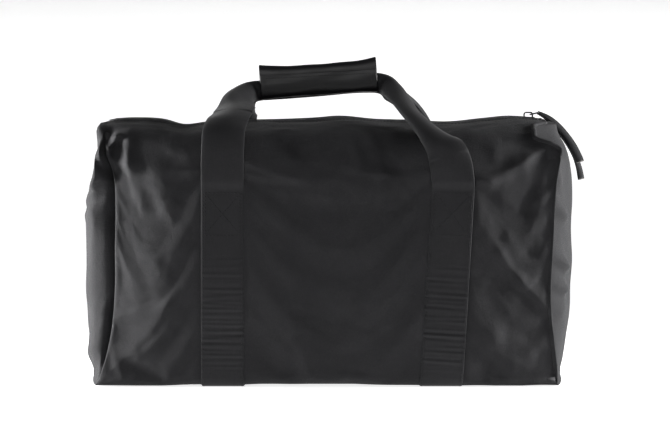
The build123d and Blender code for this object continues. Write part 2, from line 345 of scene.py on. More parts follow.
def ribbed_webbing():
    """Nylon webbing: fine cross ribs with long warp cords, slightly shinier than the cloth."""
    m = Nodes("ribbed_webbing", roughness=0.6)
    m.shader.inputs["Sheen Weight"].default_value = 0.12
    m.shader.inputs["Sheen Roughness"].default_value = 0.4
    m.shader.inputs["Specular IOR Level"].default_value = 0.17
    place = m.coordinates(use_uv=True)
    ribs = m.wave(place, 240.0, 0.8, "Y")
    cords = m.noise(m.coordinates((900, 60, 1), use_uv=True), 1.0, 2.0)
    weave = m.mix(ribs, cords, 0.45)
    fuzz = m.noise(m.coordinates(), 700.0, 3.0, 0.7)
    clouds = m.noise(m.coordinates(), 16.0, 5.0, 0.6)
    tone = m.mix(m.mix(weave, fuzz, 0.5), clouds, 0.35)
    colour = m.greys(tone, (0.25, 0.008), (0.5, 0.0145), (0.75, 0.026))
    return m.finish(colour, m.bump(weave, 0.35, 0.0004))


def thread():
    """Sewing thread, a little lighter and glossier than what it sews."""
    m = Nodes("thread", roughness=0.65)
    m.shader.inputs["Specular IOR Level"].default_value = 0.25
    twist = m.noise(m.coordinates(), 1400.0, 2.0)
    colour = m.greys(twist, (0.35, 0.006), (0.65, 0.013))
    return m.finish(colour, m.bump(twist, 0.3, 0.0003))


def zip_tape_cloth():
    """Fine twill tape, matt black."""
    m = Nodes("zip_tape_cloth", roughness=0.75)
    m.shader.inputs["Sheen Weight"].default_value = 0.2
    twill = m.wave(m.coordinates((1, 1, 0.4)), 420.0, 0.8, "DIAGONAL")
    fuzz = m.noise(m.coordinates(), 900.0, 2.0)
    tone = m.mix(twill, fuzz, 0.5)
    colour = m.greys(tone, (0.3, 0.010), (0.7, 0.028))
    return m.finish(colour, m.bump(twill, 0.4, 0.0003))


def coil_plastic():
    """Black satin plastic with fine scratches."""
    m = Nodes("coil_plastic", roughness=0.38)
    scratches = m.noise(m.coordinates(), 500.0, 3.0)
    colour = m.greys(scratches, (0.35, 0.010), (0.7, 0.030))
    return m.finish(colour, m.bump(scratches, 0.12, 0.0002))


def black_metal():
    """Black painted zip metal, worn a little bright on its high spots."""
    m = Nodes("black_metal", roughness=0.45, metallic=0.3)
    wear = m.noise(m.coordinates(), 260.0, 5.0, 0.65)
    colour = m.greys(wear, (0.4, 0.010), (0.62, 0.022), (0.76, 0.09))
    return m.finish(colour, m.bump(wear, 0.08, 0.0002))


def ribbon_cloth():
    """Narrow black ribbon; its cut ends go pale with loose fibres."""
    m = Nodes("ribbon_cloth", roughness=0.7)
    m.shader.inputs["Specular IOR Level"].default_value = 0.2
    place = m.coordinates(use_uv=True)
    ribs = m.wave(place, 260.0, 0.5, "Y")
    split = m.node("ShaderNodeSeparateXYZ")
    m.link(place, split)
    fuzz = m.noise(m.coordinates(), 800.0, 3.0)
    ragged = m.node("ShaderNodeMath", operation="MULTIPLY_ADD")
    m.tree.links.new(fuzz, ragged.inputs[0])
    ragged.inputs[1].default_value = 0.006
    m.link(split, ragged, "Y", 2)
    base = m.greys(ribs, (0.3, 0.005), (0.7, 0.012))
    pale = m.map_range((0.0022, 0.0048), (1.0, 0.0))
    m.link(ragged, pale)
    fray = m.node("ShaderNodeRGB")
    fray.outputs[0].default_value = (0.30, 0.29, 0.28, 1)
    made = m.node("ShaderNodeMix", data_type="RGBA")
    m.link(pale, made)
    m.tree.links.new(base, made.inputs[6])
    m.tree.links.new(fray.outputs[0], made.inputs[7])
    return m.finish(made.outputs[2], m.bump(ribs, 0.4, 0.0003))


def smooth_leather():
    """Black smooth leather, satin, with fine pores, soft creases and a rubbed look."""
    m = Nodes("smooth_leather", roughness=0.42)
    m.shader.inputs["Specular IOR Level"].default_value = 0.42
    pores = m.node("ShaderNodeTexVoronoi", Scale=900.0)
    m.link(m.coordinates(), pores, 0, "Vector")
    creases = m.noise(m.coordinates((60, 240, 240)), 1.0, 6.0, 0.6)
    rubbed = m.noise(m.coordinates((14, 30, 30)), 1.0, 5.0, 0.6)
    colour = m.greys(rubbed, (0.35, 0.003), (0.6, 0.006), (0.8, 0.018))
    rough = m.ramp(rubbed, [(0.3, (0.50,) * 3), (0.75, (0.34,) * 3)])
    normal = m.bump(pores.outputs[0], 0.12, 0.0002)
    normal = m.bump(creases, 0.35, 0.0006, normal)
    return m.finish(colour, normal, rough)


def hook_and_loop_pile():
    """Matt black pile of the hook and loop patches."""
    m = Nodes("hook_and_loop_pile", roughness=0.9)
    pile = m.noise(m.coordinates(), 1100.0, 4.0, 0.7)
    colour = m.greys(pile, (0.35, 0.006), (0.7, 0.03))
    return m.finish(colour, m.bump(pile, 0.8, 0.0008))


def binding_cloth():
    """Ribbed binding tape, a little lighter than the nylon."""
    m = Nodes("binding_cloth", roughness=0.8)
    ribs = m.wave(m.coordinates(), 300.0, 0.6, "Z")
    colour = m.greys(ribs, (0.3, 0.014), (0.7, 0.03))
    return m.finish(colour, m.bump(ribs, 0.4, 0.0004))


def paint_nodes(material, *nodes):
    """Gives CAD nodes that stay visible their material."""
    for node in nodes:
        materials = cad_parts[node].data.materials
        materials.clear()
        materials.append(material)


NYLON = woven_nylon()
WEBBING = ribbed_webbing()
THREAD = thread()
TAPE = zip_tape_cloth()
COIL = coil_plastic()
METAL = black_metal()
RIBBON = ribbon_cloth()
LEATHER = smooth_leather()
PILE = hook_and_loop_pile()
BINDING = binding_cloth()


# ---- the ribbon pull: a cord, so it comes first

RIBBON_ROUTE = [
    (0.2605, 0, 0.3300),
    (0.2705, -0.0015, 0.3255),
    (0.2820, -0.004, 0.3150),
    (0.2940, -0.006, 0.3005),
    (0.3045, -0.007, 0.2850),
    (0.3125, -0.007, 0.2670),
    (0.3160, -0.007, 0.2470),
]


def nurbs_line(points):
    """The smooth line that a NURBS spline makes of its control points."""
    data = bpy.data.curves.new("route", "CURVE")
    data.dimensions = "3D"
    data.resolution_u = 12
    spline = data.splines.new("NURBS")
    spline.points.add(len(points) - 1)
    for control, place in zip(spline.points, points):
        control.co = (*place, 1)
    spline.order_u = 3
    spline.use_endpoint_u = True
    obj = bpy.data.objects.new("route", data)
    scene.collection.objects.link(obj)
    bpy.context.view_layer.update()
    mesh = bpy.data.meshes.new_from_object(obj)
    line = vertex_places(mesh)
    bpy.data.objects.remove(obj)
    bpy.data.meshes.remove(mesh)
    return line


def across_steps(columns):
    """Places across a strap from -1 to 1, closer together at its edges."""
    return np.r_[-1, -0.985, np.linspace(-0.965, 0.965, columns - 4), 0.985, 1]


def strap_points(centres, across, normals, widths, thickness, columns, shape=None):
    """Points of a closed flat strap: outer face, then inner face, column by column along its length.
    shape(i, w) gives extra (sideways, outward) places for the fraction w across, from -1 to 1."""
    w = across_steps(columns)
    round_edge = np.sqrt(np.clip(1 - np.abs(w) ** 40, 0, 1))
    rows = []
    for i in range(len(centres)):
        side, out = (w * widths[i] / 2, np.zeros(columns)) if shape is None else shape(i, w)
        middle = centres[i] + np.outer(side, across[i]) + np.outer(out, normals[i])
        tangent = unit(np.gradient(np.stack([side, out], 1), axis=0))
        local = np.outer(tangent[:, 0], normals[i]) - np.outer(tangent[:, 1], across[i])
        lift = local * (thickness / 2 * round_edge)[:, None]
        rows.append(np.concatenate([middle + lift, (middle - lift)[::-1][1:-1]]))
    return np.array(rows)


def strap_uv(centres, widths, columns):
    """Places across and along the strap, in metres, matching strap_points."""
    run = distances(centres)
    w = across_steps(columns)
    ring = np.concatenate([w, w[::-1][1:-1]])
    u = ring[None, :] * np.asarray(widths)[:, None] / 2
    return np.stack([u, np.repeat(run[:, None], len(ring), 1)], 2)


def strap_mesh(name, centres, across, normals, widths, thickness, columns, shape=None, **options):
    """A closed strap with capped ends."""
    grid = strap_points(centres, across, normals, widths, thickness, columns, shape)
    rows, ring = grid.shape[:2]
    uv = strap_uv(centres, widths, columns).reshape(-1, 2)
    return new_piece(name, grid.reshape(-1, 3), capped_tube_faces(rows, ring), uv=uv, **options)


RIBBON_STEPS, RIBBON_COLUMNS = 60, 7
RIBBON_THICKNESS = 0.0011


def make_ribbon():
    """The ribbon folded double through the ring: two strands that part a little and twist."""
    line = nurbs_line(RIBBON_ROUTE)
    centre = resample(line, RIBBON_STEPS)
    run = np.linspace(0, 1, RIBBON_STEPS)
    forward = unit(np.gradient(centre, axis=0))
    depth = np.array([0.0, 1.0, 0.0])
    up = unit(np.cross(forward, depth))
    up *= np.sign(up[0, 2])
    points, faces, uv = [], [], []
    strands = [
        # how far it bows off the line, its turn in degrees, its share of the length, its width
        dict(bow=0.0018, turn=(25, 62, 80), reach=0.80, width=0.0106, side=1),
        dict(bow=0.0016, turn=(12, 45, 75), reach=1.0, width=0.0088, side=-1),
    ]
    for strand in strands:
        keep = run <= strand["reach"]
        t = run[keep] / strand["reach"]
        turn = np.radians(along([0, 0.5, 1], strand["turn"], t))
        bow = strand["bow"] * np.sin(np.pi * np.clip(t * 1.15, 0, 1)) + 0.0009 + 0.0009 * t**3
        bow = bow * strand["side"]
        across = np.cos(turn)[:, None] * depth + np.sin(turn)[:, None] * up[keep]
        normal = unit(np.cross(forward[keep], across))
        middle = centre[keep] + up[keep] * bow[:, None]
        widths = strand["width"] * (0.78 + 0.22 * smooth(0.5, 0.95, t))
        grid = strap_points(middle, across, normal, widths, RIBBON_THICKNESS, RIBBON_COLUMNS)
        places = strap_uv(middle, widths, RIBBON_COLUMNS)
        places[..., 1] = places[-1, 0, 1] - places[..., 1]
        start = len(points)
        rows, ring = grid.shape[:2]
        points.extend(grid.reshape(-1, 3))
        uv.extend(places.reshape(-1, 2))
        faces.extend(capped_tube_faces(rows, ring, start))
    ribbon = new_piece("ribbon_pull_strands", points, faces, "zip_pull", RIBBON, "ribbon", uv)
    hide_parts("ribbon_pull")
    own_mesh(ribbon)
    return ribbon


make_ribbon()


# ---- the body of the bag

ROOF_ROWS, WALL_ROWS = 30, 70  # steps along the cross-section
BASE_ROWS = 2 * ROOF_ROWS
SHOULDER_ROW = ROOF_ROWS
FOOT_ROW = SHOULDER_ROW + WALL_ROWS
BACK_FOOT_ROW = FOOT_ROW + BASE_ROWS
BACK_SHOULDER_ROW = BACK_FOOT_ROW + WALL_ROWS
ALL_ROWS = BACK_SHOULDER_ROW + ROOF_ROWS
COLUMNS = 141
HEM_ROWS = 7  # rows of the wall cloth that turn under the base

# the end seams of the front wall, left and right, by height
SEAM_HEIGHTS = np.array([0, 12, 42, 73, 98, 125, 157, 208, 240, 260, 277]) * MM
LEFT_SEAM = -np.array([272, 270, 262, 257, 255, 254, 254, 254, 256, 260, 266]) * MM
RIGHT_SEAM = np.array([268, 269, 266.5, 263, 261, 261.5, 263.5, 266, 268.5, 272, 275]) * MM
BACK_SEAM = np.array([270, 269, 266, 264, 263, 263, 264, 266, 268, 270, 272]) * MM
LEFT_TUCK = np.array([1, 5, 11, 15, 16, 16, 16, 17, 15, 11, 6]) * MM  # how far the left seam is drawn in
# the roll of cloth there: by distance from the seam, share of the depth, and how far the cloth shifts right
TUCK_PLACES = np.array([0, 1.35, 2.8, 4.4, 8]) * MM
TUCK_DEPTH = np.array([1, 0.16, 0.03, 0, 0])
TUCK_SHIFT = np.array([3.5, -1.1, -1.7, -1.2, 0]) * MM
RIDGE_END_X = 0.280
BASE_END_X = 0.289
BOTTOM_RADIUS = 0.010
BASE_Z = 0.0012  # the underside of the base; the webbing passes below it
CLOTH_THICKNESS = 0.0012
TAPE_THICKNESS = 0.0006

# the top edge of the cloth along the zip
RIDGE_KNOTS = MM * np.array(
    [-280, -262, -238, -205, -182, -150, -105, -60, -15, 10, 60, 100, 150, 190, 225, 249, 280]
)
RIDGE_HEIGHTS = MM * np.array(
    [319, 322, 323, 321, 315, 318, 320, 321, 323, 325, 321, 320, 318, 322, 325, 323.5, 318.5]
)


def rounded_section(ridge_z):
    """The front half of the cross-section from the zip down to the middle of the base, as rows of (y, z)."""
    stations = [
        (0, ridge_z),
        (-0.045, ridge_z - 0.0035),
        (-0.088, ridge_z - 0.0115),
        (-0.120, 0.2960),
        (-0.1365, 0.2710),
        (-HALF_DEPTH, 0.2400),
        (-HALF_DEPTH, 0.2000),
    ]
    top = catmull(stations, 81)
    radius = BOTTOM_RADIUS
    angle = np.linspace(0, math.pi / 2, 25)[:, None]
    turn = np.hstack([np.cos(angle), np.sin(angle)]) * -radius + [radius - HALF_DEPTH, radius + BASE_Z]
    line = np.vstack([top, turn, [(0, BASE_Z)]])
    shoulder = int(np.argmax(line[:, 1] < SHOULDER_Z))
    foot = len(top) + len(turn) // 2
    from_corner = 2 * closer_at_ends(BASE_ROWS + 1)[:ROOF_ROWS + 1]
    roof = resample(line[:shoulder + 1], 1 - from_corner[::-1])
    wall = resample(line[shoulder:foot + 1], WALL_ROWS + 1)
    base = resample(line[foot:], from_corner)
    return np.concatenate([roof, wall[1:], base[1:]])


def seam_x(y, z, heights_x, side):
    """How far out the end seam is at a place of the cross-section."""
    wall = along(SEAM_HEIGHTS, heights_x, np.clip(z, 0, SHOULDER_Z))
    inward = 1 - (np.minimum(np.abs(y), HALF_DEPTH) / HALF_DEPTH) ** 2
    end = np.where(z > SHOULDER_Z / 2, RIDGE_END_X, BASE_END_X - 0.002 - 0.002 * side)
    return side * (wall + (end - wall) * inward)


# folds of the front wall: from (x, z) to (x, z), half widths below and above the line, height outwards; in mm
FRONT_FOLDS = [
    # round the upper left corner: a pocket, a bright pinched ridge beside it and a long hollow below
    ((-262, 305), (-263, 293), 6, 6, -13.0),
    ((-261, 283), (-252, 298), 3.5, 4, 7.0),
    ((-252, 298), (-240, 304), 4, 5, 7.0),
    ((-250, 288), (-255, 254), 7, 7, -10.0),
    ((-239, 292), (-237, 262), 4, 9, 4.0),
    ((-237, 262), (-226, 222), 5, 12, 3.0),
    # the long soft mounds of the left side
    ((-206, 246), (-192, 208), 7, 14, 2.4),
    ((-196, 178), (-190, 150), 12, 14, -1.6),
    ((-243, 84), (-190, 95), 9, 6, 2.8),
    ((-196, 84), (-246, 28), 6, 14, 2.0),
    ((-236, 30), (-200, 12), 8, 8, -2.5),
    ((-232, 150), (-225, 90), 12, 10, 1.6),
    ((-186, 284), (-164, 276), 10, 10, 3.0),
    # the middle, between the webbing bands
    ((-92, 262), (-36, 244), 4, 8, 2.8),
    ((-70, 300), (-46, 284), 12, 12, -4.5),
    ((50, 296), (68, 262), 10, 10, -5.0),
    ((30, 286), (40, 262), 6, 9, -2.6),
    ((26, 258), (60, 250), 5, 8, 3.0),
    ((78, 246), (88, 228), 5, 7, 1.8),
    ((16, 112), (76, 60), 22, 26, 2.2),
    ((-80, 88), (-10, 40), 20, 26, 1.6),
    ((20, 12), (58, 8), 5, 5, 2.4),
    ((-60, 6), (-20, 14), 6, 6, 1.6),
    # the right side
    ((170, 244), (190, 242), 5, 6, 3.0),
    ((190, 242), (232, 266), 8, 11, 4.0),
    ((232, 266), (258, 284), 7, 10, 3.6),
    ((176, 300), (206, 286), 12, 12, 3.0),
    ((254, 274), (236, 214), 9, 10, -4.2),
    ((250, 240), (244, 180), 10, 9, 2.0),
    ((202, 156), (228, 122), 5, 9, 4.2),
    ((228, 122), (256, 94), 4, 8, 4.2),
    ((212, 176), (216, 160), 8, 8, 2.0),
    ((190, 60), (250, 20), 16, 20, 2.6),
    ((176, 200), (196, 150), 10, 14, 1.8),
]

BACK_FOLDS = [
    ((-240, 290), (-205, 236), 8, 12, 4.5),
    ((-250, 262), (-246, 205), 8, 9, -4.0),
    ((-178, 236), (-214, 170), 8, 16, 3.6),
    ((-170, 118), (-255, 20), 8, 20, 4.0),
    ((-60, 268), (-20, 236), 7, 9, 2.2),
    ((30, 250), (90, 268), 8, 10, 2.0),
    ((-40, 120), (60, 60), 20, 24, 2.4),
    ((180, 262), (244, 286), 8, 11, 3.6),
    ((244, 250), (232, 190), 9, 10, -3.6),
    ((196, 170), (258, 100), 6, 12, 3.8),
    ((180, 70), (256, 24), 14, 18, 2.8),
    ((-20, 10), (30, 16), 6, 6, 2.0),
]


# the bent line where the left part of the front turns away, by height
FACET_HEIGHTS = np.array([0, 12, 47, 76, 94, 112, 158, 187, 208, 243, 283, 310]) * MM
FACET_EDGE = -np.array([262, 256, 214, 193, 184, 190, 199, 193, 184, 196, 212, 222]) * MM


# how far the bottom edge of the front lifts off the ground along its length
BASE_LIFT_PLACES = np.array([-272, -240, -170, -120, -60, 0, 50, 110, 200, 268]) * MM
BASE_LIFT = np.array([0.5, 0, 0.8, 1.0, 2.0, 2.4, 1.4, 0.4, 0, 0.6]) * MM


def crumple(seed, count, region, lean, size, strength=1.0):
    """Many small random folds inside region (x0, z0, x1, z1), leaning about lean degrees; all in mm."""
    rng = np.random.default_rng(seed)
    folds = []
    for _ in range(count):
        x, z = rng.uniform(region[0], region[2]), rng.uniform(region[1], region[3])
        angle = math.radians(rng.choice([-1, 1], p=[0.4, 0.6]) * lean + rng.normal(0, 40))
        length = rng.uniform(4, 24) * size
        sharp, soft = rng.uniform(3.0, 5.0) * size, rng.uniform(5, 11) * size
        if rng.random() < 0.5:
            sharp, soft = soft, sharp
        height = rng.choice([-1, 1], p=[0.35, 0.65]) * rng.uniform(0.25, 1.0) * size * strength
        end = (x + length * math.cos(angle), z + length * math.sin(angle))
        folds.append(((x, z), end, sharp, soft, height))
    return folds


FRONT_CRUMPLES = crumple(5, 110, (-250, 20, -150, 300), 60, 1.05, 0.6)
FRONT_CRUMPLES += crumple(6, 34, (-95, 200, 110, 305), 40, 1.0)
FRONT_CRUMPLES += crumple(7, 30, (-95, 8, 110, 110), 35, 1.1)
FRONT_CRUMPLES += crumple(8, 110, (170, 10, 262, 305), 50, 1.2)
BACK_CRUMPLES = crumple(9, 110, (-255, 20, 255, 290), 45, 1.3)
TOP_CRUMPLES = crumple(10, 90, (-270, -130, 270, -16), 30, 1.2)
TOP_CRUMPLES += crumple(11, 80, (-270, 16, 270, 130), 30, 1.2)


def fold_height(x, z, folds):
    """Outward height of all the folds at a place on a wall."""
    total = np.zeros_like(x)
    for (x0, z0), (x1, z1), below, above, height in folds:
        a = np.array([x0, z0]) * MM
        way = np.array([x1, z1]) * MM - a
        length = np.linalg.norm(way)
        way = way / length
        t = ((x - a[0]) * way[0] + (z - a[1]) * way[1]) / length
        side = (x - a[0]) * way[1] - (z - a[1]) * way[0]
        side = np.where(way[0] < 0, -side, side)
        width = np.where(side > 0, below, above) * MM
        past = np.maximum(np.maximum(-t, t - 1), 0) * length / (1.3 * width)
        total += height * MM * np.exp(-((side / width) ** 2) - past**2)
    return total


# the cloth of the right end is folded in over the front's top corner: how far, and how deep behind it
NOTCH_WIDTH, NOTCH_DEPTH = 0.032, 0.096


def wrap_points():
    """The cloth from the zip down the front, under the base and up the back, as rows by columns of points."""
    u = closer_at_ends(COLUMNS)
    points = np.zeros((ALL_ROWS + 1, COLUMNS, 3))
    half = SHOULDER_ROW + WALL_ROWS + BASE_ROWS // 2
    for j in range(COLUMNS):
        guess_x = -RIDGE_END_X + 2 * RIDGE_END_X * u[j]
        section = rounded_section(float(along(RIDGE_KNOTS, RIDGE_HEIGHTS, guess_x)))
        points[:half + 1, j, 1:] = section
        points[half:, j, 1] = -section[::-1, 0]
        points[half:, j, 2] = section[::-1, 1]
    y, z = points[..., 1], points[..., 2]
    row = np.arange(ALL_ROWS + 1)
    front = (row <= half)[:, None]
    left = np.where(front, seam_x(y, z, -LEFT_SEAM, -1), seam_x(y, z, BACK_SEAM, -1))
    right = np.where(front, seam_x(y, z, RIGHT_SEAM, 1), seam_x(y, z, BACK_SEAM, 1))
    notch = smooth(-0.1345, -0.1225, y) * smooth(-0.045, -0.078, y) * smooth(0.27, 0.284, z)
    right = right - NOTCH_WIDTH * notch
    points[..., 0] = left + (right - left) * u[None, :]
    shape_walls(points, front)
    return points


BELLY = 0.0035  # how far the middle of a wall bulges
SIDE_SLOPE = 0.035  # how both sides of a wall fall back beyond the webbing
RIGHT_SLOPE = 0.14  # how the front falls back further near its right seam
FACET_SLOPE = 0.26  # how the left of the front falls back beyond its bent line
STRAP_CHANNEL = 0.0013  # how deep the webbing presses into the cloth


def shape_walls(points, front):
    """Belly, folds, tucked seams and general unevenness of the two walls."""
    x, y, z = points[..., 0].copy(), points[..., 1].copy(), points[..., 2].copy()
    on_wall = smooth(0.5, 0.95, np.abs(y) / HALF_DEPTH) * smooth(0.0, 0.012, z)
    facing = np.where(front, -1.0, 1.0)
    height = np.clip(z, 0, SHOULDER_Z)
    on_front = fold_height(x, z, FRONT_FOLDS) + fold_height(x, z, FRONT_CRUMPLES)
    on_back = fold_height(x, z, BACK_FOLDS) + fold_height(x, z, BACK_CRUMPLES)
    folds = np.where(front, on_front, on_back)
    belly = BELLY * np.sin(np.pi * height / SHOULDER_Z) * (1 - (x / END_X) ** 2)
    belly = belly - SIDE_SLOPE * soft_step(np.abs(x) - 0.11, 0.02)
    belly = belly - RIGHT_SLOPE * soft_step(x - 0.172, 0.012) * front
    uneven = 0.0011 * wobble(x, z, 0.11, 3) + 0.0006 * wobble(x, z, 0.045, 8)
    covered = strap_cover(x, z)
    out = folds * (1 - 0.85 * covered) + belly + uneven * (1 - 0.7 * covered) - STRAP_CHANNEL * covered
    # the left part of the front turns away along a bent line
    facet = soft_step(along(FACET_HEIGHTS, FACET_EDGE, z) - x, 0.004)
    out = out - np.where(front, FACET_SLOPE * facet, 0)
    points[..., 1] += facing * out * on_wall
    # there the cloth folds back sharply to its seam, which leaves a deep valley before the end panel
    tuck = along(SEAM_HEIGHTS, LEFT_TUCK, height)
    left_edge = along(SEAM_HEIGHTS, LEFT_SEAM, height)
    from_seam = x - left_edge
    points[..., 1] += tuck * along(TUCK_PLACES, TUCK_DEPTH, from_seam) * on_wall * front
    points[..., 0] += tuck / LEFT_TUCK.max() * along(TUCK_PLACES, TUCK_SHIFT, from_seam) * on_wall * front
    back_edge = along(SEAM_HEIGHTS, BACK_SEAM, height)
    back_roll = np.exp(-(((back_edge - np.abs(x)) / 0.010) ** 2)) * 0.004
    points[..., 1] -= np.where(front, 0, back_roll * on_wall)
    # the top is never quite flat
    on_roof = smooth(SHOULDER_Z - 0.01, SHOULDER_Z + 0.02, z) * smooth(0, 0.02, np.abs(y))
    crumples = fold_height(x, y, TOP_CRUMPLES)
    points[..., 2] += on_roof * (0.0020 * wobble(x, y, 0.12, 5) - 0.001 + crumples)
    # the base edge of the walls is soft and wavy
    low = (1 - smooth(0, 0.03, z)) * (np.abs(y) > HALF_DEPTH * 0.8)
    lifted = along(BASE_LIFT_PLACES, BASE_LIFT, x) + 0.0005 * wobble(x, x * 0, 0.05, 11)
    points[..., 2] += low * np.where(front, np.maximum(lifted, 0), 0.0016 * np.abs(wobble(x, x * 0, 0.1, 11)))


def soft_step(x, width):
    """0 for x well below 0, x well above it, and a smooth turn between."""
    return width * np.logaddexp(0, x / width)


def strap_centre(z):
    """Where the right webbing band's middle is, by height."""
    return RIGHT_FOOT_X + (RIGHT_X - RIGHT_FOOT_X) * np.clip(z / STITCH_TOP, 0, 1)


def strap_cover(x, z):
    """1 under the webbing bands and 0 away from them."""
    cover = 0
    for middle in (LEFT_X, strap_centre(z)):
        off = np.abs(x - middle) - WEBBING_WIDTH / 2
        cover = cover + (1 - smooth(-0.004, 0.006, off))
    return np.clip(cover, 0, 1) * (1 - smooth(STITCH_TOP - 0.01, STITCH_TOP + 0.03, z))


# the furthest each end panel reaches, by height
OUTLINE_HEIGHTS = np.array([0, 12, 26, 50, 82, 120, 160, 200, 230, 258, 274, 288, 300, 311, 322]) * MM
LEFT_OUTLINE = np.array([283, 286, 289, 292, 294, 296, 297, 297, 287, 281, 279, 280, 282, 282, 278]) * MM
RIGHT_OUTLINE = np.array([281, 283, 286, 291, 296, 299, 300, 300, 300, 299, 297, 293, 286, 279, 276]) * MM

# how far the rolled lip of the left end stands forward and outward, by distance from its seam
LIP_DEPTHS = np.array([0, 3, 7, 12, 18, 26, 36, 60, 110, 160]) * MM
LIP_FORWARD = np.array([0, 6, 16, 24, 29, 31, 29, 20, 8, 0]) * MM
LIP_OUT = np.array([0, 1.5, 4, 5.5, 6.5, 6.5, 5, 1.5, 0, 0]) * MM


def end_points(edge_front, edge_back, edge_base, edge_top, side):
    """A Coons patch over one end, bulging outwards. Edges run bottom to top and front to back."""
    rows, columns = len(edge_front), len(edge_base)
    s = closer_at_ends(columns)[None, :, None]
    t = np.linspace(0, 1, rows)[:, None, None]
    sides = (1 - s) * edge_front[:, None] + s * edge_back[:, None]
    ends = (1 - t) * edge_base[None] + t * edge_top[None]
    corners = (1 - s) * (1 - t) * edge_front[0] + s * (1 - t) * edge_back[0]
    corners = corners + (1 - s) * t * edge_front[-1] + s * t * edge_back[-1]
    patch = sides + ends - corners
    y, z = patch[..., 1], patch[..., 2]
    outline = along(OUTLINE_HEIGHTS, LEFT_OUTLINE if side < 0 else RIGHT_OUTLINE, z)
    round_y = np.clip(1 - (np.abs(y) / HALF_DEPTH) ** 2.4, 0, 1)
    fill = smooth(0, 0.18, s[..., 0]) * smooth(1, 0.82, s[..., 0])
    span = (outline - np.abs(patch[..., 0])) * round_y
    rise = 1.0
    if side > 0:
        rise = 1 - smooth(-0.03, -0.07, y) * (1 - smooth(1.0, 0.88, t[..., 0]))
    patch[..., 0] += side * span * np.sqrt(fill) * rise
    inner = fill * smooth(0, 0.05, t[..., 0]) * smooth(1, 0.95, t[..., 0])
    patch[..., 0] += side * (end_folds(y, z, side) - 0.0015) * inner
    if side > 0:
        # a hollow behind the folded corner
        near = ((y + NOTCH_DEPTH) / 0.022) ** 2 + ((z - 0.297) / 0.016) ** 2
        inside = smooth(1, 0.93, t[..., 0])
        patch[..., 0] -= 0.016 * np.exp(-near) * inside
        patch[..., 2] -= 0.010 * np.exp(-near) * inside
        # a shallow groove behind the rolled front seam
        depth = s[..., 0] * 2 * HALF_DEPTH
        groove = smooth(0, 0.003, depth) * smooth(0.026, 0.006, depth)
        patch[..., 0] -= 0.0045 * groove * smooth(0, 0.03, z) * smooth(0.285, 0.26, z)
    if side < 0:
        # the end panel rolls forward again in front of its seam; near the top it hangs over as a loose fold
        tall = smooth(0.0, 0.05, z) * smooth(0.296, 0.272, z)
        hang = smooth(0.236, 0.243, z - 0.25 * (patch[..., 0] + 0.262)) * smooth(0.294, 0.262, z)
        depth = s[..., 0] * 2 * HALF_DEPTH
        forward = along(LIP_DEPTHS, LIP_FORWARD, depth) * (0.62 + 0.38 * hang)
        patch[..., 0] -= along(LIP_DEPTHS, LIP_OUT, depth) * (0.9 + 0.5 * hang) * tall
        patch[..., 1] -= forward * tall
    return patch


# folds of the end panels, in (y, z), like the wall folds
LEFT_END_FOLDS = [
    ((-120, 262), (-60, 205), 8, 12, 5.0),
    ((-128, 222), (-70, 214), 7, 6, -6.0),
    ((-110, 200), (-40, 232), 8, 10, 4.0),
    ((-100, 140), (-30, 60), 12, 18, 3.0),
    ((40, 250), (110, 180), 10, 14, 4.0),
    ((10, 120), (90, 40), 12, 16, 3.5),
    ((-90, 40), (-20, 20), 9, 9, 3.0),
]
RIGHT_END_FOLDS = [
    ((-134, 164), (-88, 140), 4, 9, 9.0),
    ((-134, 126), (-90, 112), 4, 9, 8.0),
    ((-134, 228), (-88, 200), 5, 10, 7.0),
    ((-124, 262), (-100, 244), 6, 9, 4.0),
    ((-128, 72), (-100, 84), 8, 12, 4.0),
    ((-120, 283), (-72, 306), 5, 4, -9.0),
    ((30, 240), (100, 190), 10, 14, 3.6),
    ((20, 60), (100, 110), 12, 16, 3.2),
]


def end_folds(y, z, side):
    folds = LEFT_END_FOLDS if side < 0 else RIGHT_END_FOLDS
    return fold_height(y, z, folds) + 0.0012 * wobble(y, z, 0.09, 21 + int(side))


def closed_body():
    """The whole bag as one closed sheet: points, faces, and each face's panel.
    Panels are 0 front, 1 back, 2 base, 3 left end, 4 right end."""
    wrap = wrap_points()
    count = ALL_ROWS * COLUMNS  # the last row is the first one again: both meet at the zip
    points = list(wrap[:-1].reshape(-1, 3))
    index = np.arange(count).reshape(ALL_ROWS, COLUMNS)
    index = np.vstack([index, index[:1]])
    faces, panels = [], []
    for i in range(ALL_ROWS):
        panel = 0 if i < FOOT_ROW + HEM_ROWS else 2 if i < BACK_FOOT_ROW - HEM_ROWS else 1
        for j in range(COLUMNS - 1):
            faces.append([index[i, j], index[i + 1, j], index[i + 1, j + 1], index[i, j + 1]])
            panels.append(panel)
    for side, column, panel in ((-1, 0, 3), (1, COLUMNS - 1, 4)):
        edge = index[:, column]
        front = edge[SHOULDER_ROW:FOOT_ROW + 1][::-1]
        back = edge[BACK_FOOT_ROW:BACK_SHOULDER_ROW + 1]
        base = edge[FOOT_ROW:BACK_FOOT_ROW + 1]
        top = np.r_[edge[:SHOULDER_ROW + 1][::-1], edge[BACK_SHOULDER_ROW:ALL_ROWS][::-1]]
        array = np.array(points)
        patch = end_points(array[front], array[back], array[base], array[top], side)
        rows, columns = patch.shape[:2]
        ids = np.zeros((rows, columns), int)
        ids[:, 0], ids[:, -1], ids[0], ids[-1] = front, back, base, top
        inner = np.arange((rows - 2) * (columns - 2)).reshape(rows - 2, columns - 2)
        ids[1:-1, 1:-1] = len(points) + inner
        points.extend(patch[1:-1, 1:-1].reshape(-1, 3))
        for i in range(rows - 1):
            for j in range(columns - 1):
                quad = [ids[i, j], ids[i, j + 1], ids[i + 1, j + 1], ids[i + 1, j]]
                faces.append(quad if side > 0 else quad[::-1])
                panels.append(panel)
    return np.array(points), np.array(faces), np.array(panels), index


